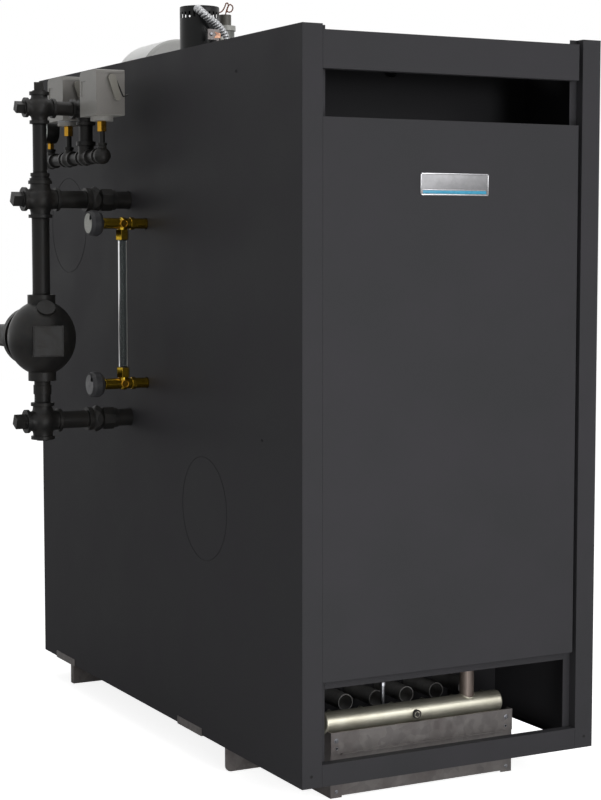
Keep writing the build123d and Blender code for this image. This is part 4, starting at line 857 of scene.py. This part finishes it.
def makeGlassDetails(settings):
    glass = middleOf("gauge_glass")
    upper, lower = lowOf("upper_gauge_cock").z, highOf("lower_gauge_cock").z
    caps = bmesh.new()
    for knob in ("upper_cock_knob", "lower_cock_knob"):
        addTurned(caps, placeAt((glass.x, glass.y, middleOf(knob).z), (0, -1, 0)), settings["cap"], 32)
    finishPiece(caps, "cock_caps", (milledBrass,))

    lines = bmesh.new()
    radius = (highOf("gauge_glass").x - lowOf("gauge_glass").x) / 2
    for start, end, finish in settings["lines"]:
        outline = []
        for skin, way in ((settings["lineSkin"], 1), (settings["lineRoot"], -1)):
            for step in range(settings["lineSteps"] + 1)[::way]:
                turn = math.radians(start + (end - start) * step / settings["lineSteps"])
                outline.append(((radius + skin) * math.cos(turn), (radius + skin) * math.sin(turn)))
        addPlate(lines, placeAt((glass.x, glass.y, lower), (0, 0, 1)), outline, upper - lower, finish)
    finishPiece(lines, "glass_lines", (glassGlint, bareCasting))

    packing = bmesh.new()
    for edge, way in ((upper, -1), (lower, 1)):
        addTurned(packing, placeAt((glass.x, glass.y, edge), (0, 0, way)), settings["packing"])
    finishPiece(packing, "glass_packing", (phenolic,))


makeGlassDetails(glassSettings)
print("gauge glass details made")


# Routes of the conduit and the seal wire: the same points as the solids, on a smooth curve
def smoothRoute(name, points):
    curve = bpy.data.curves.new(name, "CURVE")
    curve.dimensions = "3D"
    curve.resolution_u = 24
    spline = curve.splines.new("NURBS")
    spline.points.add(len(points) - 1)
    for target, point in zip(spline.points, points):
        target.co = (*(Vector(point) * mm), 1.0)
    spline.order_u = 3
    spline.use_endpoint_u = True
    holder = bpy.data.objects.new(name, curve)
    mesh = bpy.data.meshes.new_from_object(holder)
    path = [vert.co.copy() for vert in mesh.vertices]
    bpy.data.objects.remove(holder)
    bpy.data.meshes.remove(mesh)
    return path


def walkRoute(path, stepMm):
    # Even steps along a route, each with two directions square to it that turn no more than they must
    lengths = [0.0]
    for before, after in zip(path, path[1:]):
        lengths.append(lengths[-1] + (after - before).length)
    count = max(2, round(lengths[-1] / (stepMm * mm)))
    stations, span = [], 0
    side = Vector((0, 0, 1))
    for index in range(count + 1):
        goal = lengths[-1] * index / count
        while span < len(path) - 2 and lengths[span + 1] < goal:
            span += 1
        run = path[span + 1] - path[span]
        share = (goal - lengths[span]) / max(run.length, 1e-9)
        along = run.normalized()
        side = (side - along * side.dot(along)).normalized()
        stations.append((path[span] + run * min(share, 1.0), side, along.cross(side), goal / mm))
    return stations


def addTube(build, stations, radiusAt, offsetAt, sides):
    rings = []
    for point, side, other, distance in stations:
        x, y = offsetAt(distance)
        centre = point + (side * x + other * y) * mm
        ring = []
        for index in range(sides):
            angle = 2 * math.pi * index / sides
            radius = radiusAt(distance, angle) * mm
            ring.append(build.verts.new(centre + (side * math.cos(angle) + other * math.sin(angle)) * radius))
        rings.append(ring)
    for before, after in zip(rings, rings[1:]):
        joinRings(build, before, after)
    for ring in (rings[0][::-1], rings[-1]):
        build.faces.new(ring)


# Flexible conduit: a wound steel strip, each turn lapped over the next, with a fitting at each end
conduitSettings = {
    "points": (
        (-250.743, 342.057, 1760.5), (-254.374, 335.493, 1760.5), (-255.874, 328.293, 1758.6),
        (-255.074, 321.593, 1755.1), (-252.074, 316.393, 1750.5), (-247.074, 313.593, 1745.5),
        (-235.774, 314.293, 1736.8), (-217.5, 314.3, 1726.0), (-201.5, 314.6, 1711.0),
        (-189.5, 314.5, 1693.0), (-189.5, 314.5, 1676.3)),
    "outer": 10.2, "groove": 2.2, "pitch": 7.2, "stepMm": 0.6, "sides": 28,
    "sleeve": ((9.2, -2), (10.0, -1.4), (10.0, 3.4), (9.2, 4.4), (8.6, 4.6)),
    "nut": ((11, -10), (11, -4.5), (12.4, -4.4), (12.4, -1.2), (11.4, 0), (9.0, 0.6)),
    "collar": ((10.6, -0.6), (10.6, 5.0), (9.8, 6.0), (8.4, 6.2)),
}


def makeConduit(settings):
    def radiusAt(distance, angle):
        turn = (distance / settings["pitch"] + angle / (2 * math.pi)) % 1.0
        return settings["outer"] - settings["groove"] * (1 - math.sin(math.pi * turn) ** 0.6)

    stations = walkRoute(smoothRoute("conduit_route", settings["points"]), settings["stepMm"])
    build = bmesh.new()
    addTube(build, stations, radiusAt, lambda distance: (0, 0), settings["sides"])
    conduit = finishPiece(build, "wound_conduit", (conduitZinc,), sharpAngle=50)
    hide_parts("can_conduit")

    ends = bmesh.new()
    first, second, last = [Vector(settings["points"][index]) for index in (0, 1, -1)]
    addTurned(ends, placeAt(first, second - first), settings["sleeve"])
    addTurned(ends, placeAt(last, (0, 0, 1)), settings["nut"], 8)
    addTurned(ends, placeAt(last, (0, 0, 1)), settings["collar"])
    finishPiece(ends, "conduit_connectors", (zincPlate,))


makeConduit(conduitSettings)


# Seal wire: two thin wires twisted together, in two loose loops
sealWireSettings = {
    "points": (
        (-180.232, 406.087, 1764.0), (-165.34, 411.937, 1764.0), (-149.0, 424.0, 1768.0),
        (-141.0, 424.0, 1779.0), (-136.0, 424.0, 1793.4), (-129.0, 424.0, 1787.0), (-136.0, 421.5, 1774.0),
        (-135.0, 419.0, 1768.0), (-125.0, 419.0, 1769.0), (-119.0, 419.0, 1780.0), (-127.0, 419.0, 1789.0),
        (-136.0, 419.0, 1781.0), (-141.0, 419.0, 1761.3)),
    "strand": 1.15, "offset": 0.7, "twist": 11.0, "stepMm": 0.8, "sides": 8,
}


def makeSealWire(settings):
    stations = walkRoute(smoothRoute("seal_wire_route", settings["points"]), settings["stepMm"])
    build = bmesh.new()
    for start in (0.0, math.pi):
        def offsetAt(distance, start=start):
            angle = start + 2 * math.pi * distance / settings["twist"]
            return settings["offset"] * math.cos(angle), settings["offset"] * math.sin(angle)

        addTube(build, stations, lambda distance, angle: settings["strand"], offsetAt, settings["sides"])
    wire = finishPiece(build, "twisted_seal_wire", (lacqueredWire,), sharpAngle=60)
    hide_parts("seal_wire")


makeSealWire(sealWireSettings)
print("conduit and seal wire made")


# Slotted can: thin shell with long slots, so that the far slots show through the near ones, and its core
canSettings = {
    "wall": 1.0, "slots": 24, "slotWide": 5.0, "slotLow": 109.0, "slotHigh": 123.5, "phase": 5.2,
    "roll": 0.8, "arcSteps": 5, "sides": 72, "core": 17.0, "coreFoot": 20.0,
}


def makeCan(settings):
    low, high = lowOf("slotted_can"), highOf("slotted_can")
    radius = (high.x - low.x) / 2
    inner = radius - settings["wall"]
    height, roll = high.z - low.z, settings["roll"]
    place = placeAt(((low.x + high.x) / 2, high.y - radius, low.z), (0, 0, 1))
    slotLow, slotHigh = settings["slotLow"], settings["slotHigh"]
    build = bmesh.new()
    addTurned(build, place, [(radius, 0), (radius, slotLow), (inner, slotLow), (inner, 0), (radius, 0)],
              settings["sides"])
    addTurned(build, place, [
        (inner, slotHigh), (radius, slotHigh), (radius, height - 3), (radius - 0.3, height - 2.4),
        (radius, height - 1.8), (radius - roll, height), (radius - 4, height), (radius - 5, height - 0.8),
        (0, height - 0.8), (0, height - 2), (inner, height - 2), (inner, slotHigh)], settings["sides"])
    core, foot = settings["core"], settings["coreFoot"]
    addTurned(build, place, [(0, foot), (core, foot), (core, height - 4), (0, height - 4)], 32)
    pitch = 360 / settings["slots"]
    half = math.degrees(settings["slotWide"] / 2 / radius)
    bar = ((radius, slotLow), (radius, slotHigh), (inner, slotHigh), (inner, slotLow))
    for index in range(settings["slots"]):
        start = settings["phase"] + pitch * index + half
        end = settings["phase"] + pitch * (index + 1) - half
        rows = []
        for step in range(settings["arcSteps"] + 1):
            turn = Matrix.Rotation(math.radians(start + (end - start) * step / settings["arcSteps"]), 4, "Z")
            rows.append([build.verts.new(place @ turn @ Vector((out * mm, 0, z * mm))) for out, z in bar])
        for before, after in zip(rows, rows[1:]):
            joinRings(build, before, after)
        build.faces.new(rows[0])
        build.faces.new(rows[-1][::-1])
    can = finishPiece(build, "slotted_can_shell", (stovedCan,))
    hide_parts("slotted_can")


makeCan(canSettings)


# Roof fittings: screw, copper strap and ceramic bead on the bracket, and the screws of the box's lid
roofSettings = {
    "sheet": 2.0, "screw": (-238.1, 1697.7),
    "screwHead": ((4.4, 0), (4.4, 0.8), (4.0, 1.9), (2.6, 2.7), (1.2, 2.9), (0.9, 2.3), (0, 2.3)),
    "strap": ((-231.5, 1688.6), (-224.8, 1697.0), (-230.2, 1704.0), (-222.0, 1702.2), (-214.2, 1700.4),
              (-214.0, 1689.4)), "strapThick": 1.0,
    "bead": (-212.0, 1686.9), "beadRadius": 4.8, "beadTilt": 0.35, "beadSteps": 10,
    "lidDrop": 12.0, "lidInset": 6, "lidScale": 0.55,
}


def makeRoofDetails(settings):
    bracket = bmesh.new()
    x, z = settings["screw"]
    front = highOf("sensor_bracket").y - settings["sheet"]
    addTurned(bracket, placeAt((x, front, z), (0, -1, 0)), settings["screwHead"], 24)
    flat = Matrix(((1, 0, 0, 0), (0, 0, -1, front * mm), (0, 1, 0, 0), (0, 0, 0, 1)))
    addPlate(bracket, flat, settings["strap"], settings["strapThick"], 1)
    x, z = settings["bead"]
    size, steps = settings["beadRadius"], settings["beadSteps"]
    ball = [(size * math.sin(math.pi * step / steps), -size * math.cos(math.pi * step / steps))
            for step in range(1, steps)]
    place = placeAt((x, front - size * 0.5, z), (1, 0, settings["beadTilt"]))
    addTurned(bracket, place, [(0, -size), *ball, (0, size)], 20, 2)
    finishPiece(bracket, "bracket_fittings", (zincPlate, copperStrip, glazedCeramic))

    lid = bmesh.new()
    low, high, inset = lowOf("junction_box"), highOf("junction_box"), settings["lidInset"]
    for x in (low.x + inset, high.x - inset):
        for y in (low.y + inset, high.y - inset):
            addScrew(lid, (x, y, high.z - settings["lidDrop"]), (0, 0, 1), settings["lidScale"])
    finishPiece(lid, "lid_screws", (zincPlate,))


makeRoofDetails(roofSettings)
print("roof details made")


# Floor, world and lamps; a lamp is a name, a place, what it aims at, its size and its watts
stageSettings = {
    "floorSize": 24.0,
    "floorColour": "#f4f4f4",
    "floorGlow": 0.86,
    "cameraWhite": 1.0,
    "skyStrength": 0.21,
    "lamps": (
        ("key_lamp", (2.2, -4.6, 3.4), (0.0, -0.3, 0.9), 3.2, 82),
        ("front_lamp", (0.5, -4.4, 1.5), (0.0, -0.1, 1.4), 1.0, 30),
        ("side_lamp", (-4.6, -1.2, 2.6), (-0.4, 0.3, 1.0), 2.6, 2),
        ("top_lamp", (0.0, 0.5, 5.0), (0.0, 0.3, 0.0), 4.0, 48),
        ("low_lamp", (-0.7, -2.6, 0.3), (0.05, 0.0, 0.19), 0.6, 15),
    ),
}


def makeFloor(settings):
    half = settings["floorSize"] / 2
    corners = [(-half, -half, 0), (half, -half, 0), (half, half, 0), (-half, half, 0)]
    mesh = bpy.data.meshes.new("floor")
    mesh.from_pydata(corners, [], [(0, 1, 2, 3)])
    floor = bpy.data.objects.new("floor", mesh)
    bpy.context.scene.collection.objects.link(floor)
    material = bpy.data.materials.new("pale_studio_floor")
    material.use_nodes = True
    tree = material.node_tree
    tree.nodes.clear()
    rays = addNode(tree, "ShaderNodeLightPath")
    matt = addNode(tree, "ShaderNodeBsdfDiffuse", {"Color": settings["floorColour"]})
    glow = addNode(tree, "ShaderNodeEmission", {"Color": (1, 1, 1, 1), "Strength": settings["floorGlow"]})
    both = addNode(tree, "ShaderNodeAddShader", {0: matt.outputs[0], 1: glow.outputs[0]})
    seen = addNode(tree, "ShaderNodeMixShader", {
        0: rays.outputs["Is Camera Ray"], 1: matt.outputs[0], 2: both.outputs[0]})
    addNode(tree, "ShaderNodeOutputMaterial", {"Surface": seen.outputs[0]})
    mesh.materials.append(material)


# White where the camera, a mirror or a glass looks at it, and dim as a light
def makeWorld(settings):
    world = bpy.data.worlds.new("studio")
    bpy.context.scene.world = world
    world.use_nodes = True
    tree = world.node_tree
    tree.nodes.clear()
    rays = addNode(tree, "ShaderNodeLightPath")
    mirrorRay = addNode(tree, "ShaderNodeMath", {
        0: rays.outputs["Is Glossy Ray"], 1: rays.outputs["Is Transmission Ray"]}, operation="MAXIMUM")
    seen = addNode(tree, "ShaderNodeMath", {
        0: rays.outputs["Is Camera Ray"], 1: mirrorRay.outputs[0]}, operation="MAXIMUM")
    level = mapRange(tree, seen.outputs[0], 0.0, 1.0, settings["skyStrength"], settings["cameraWhite"])
    sky = addNode(tree, "ShaderNodeBackground", {"Color": (1, 1, 1, 1), "Strength": level})
    addNode(tree, "ShaderNodeOutputWorld", {"Surface": sky.outputs[0]})


def makeLamps(settings):
    for name, place, aim, size, watts in settings["lamps"]:
        data = bpy.data.lights.new(name, "AREA")
        data.shape = "DISK"
        data.size = size
        data.energy = watts
        light = bpy.data.objects.new(name, data)
        light.visible_camera = False
        light.location = place
        light.rotation_euler = (Vector(aim) - light.location).to_track_quat("-Z", "Y").to_euler()
        bpy.context.scene.collection.objects.link(light)


makeFloor(stageSettings)
makeWorld(stageSettings)
makeLamps(stageSettings)
print("stage and lamps set")
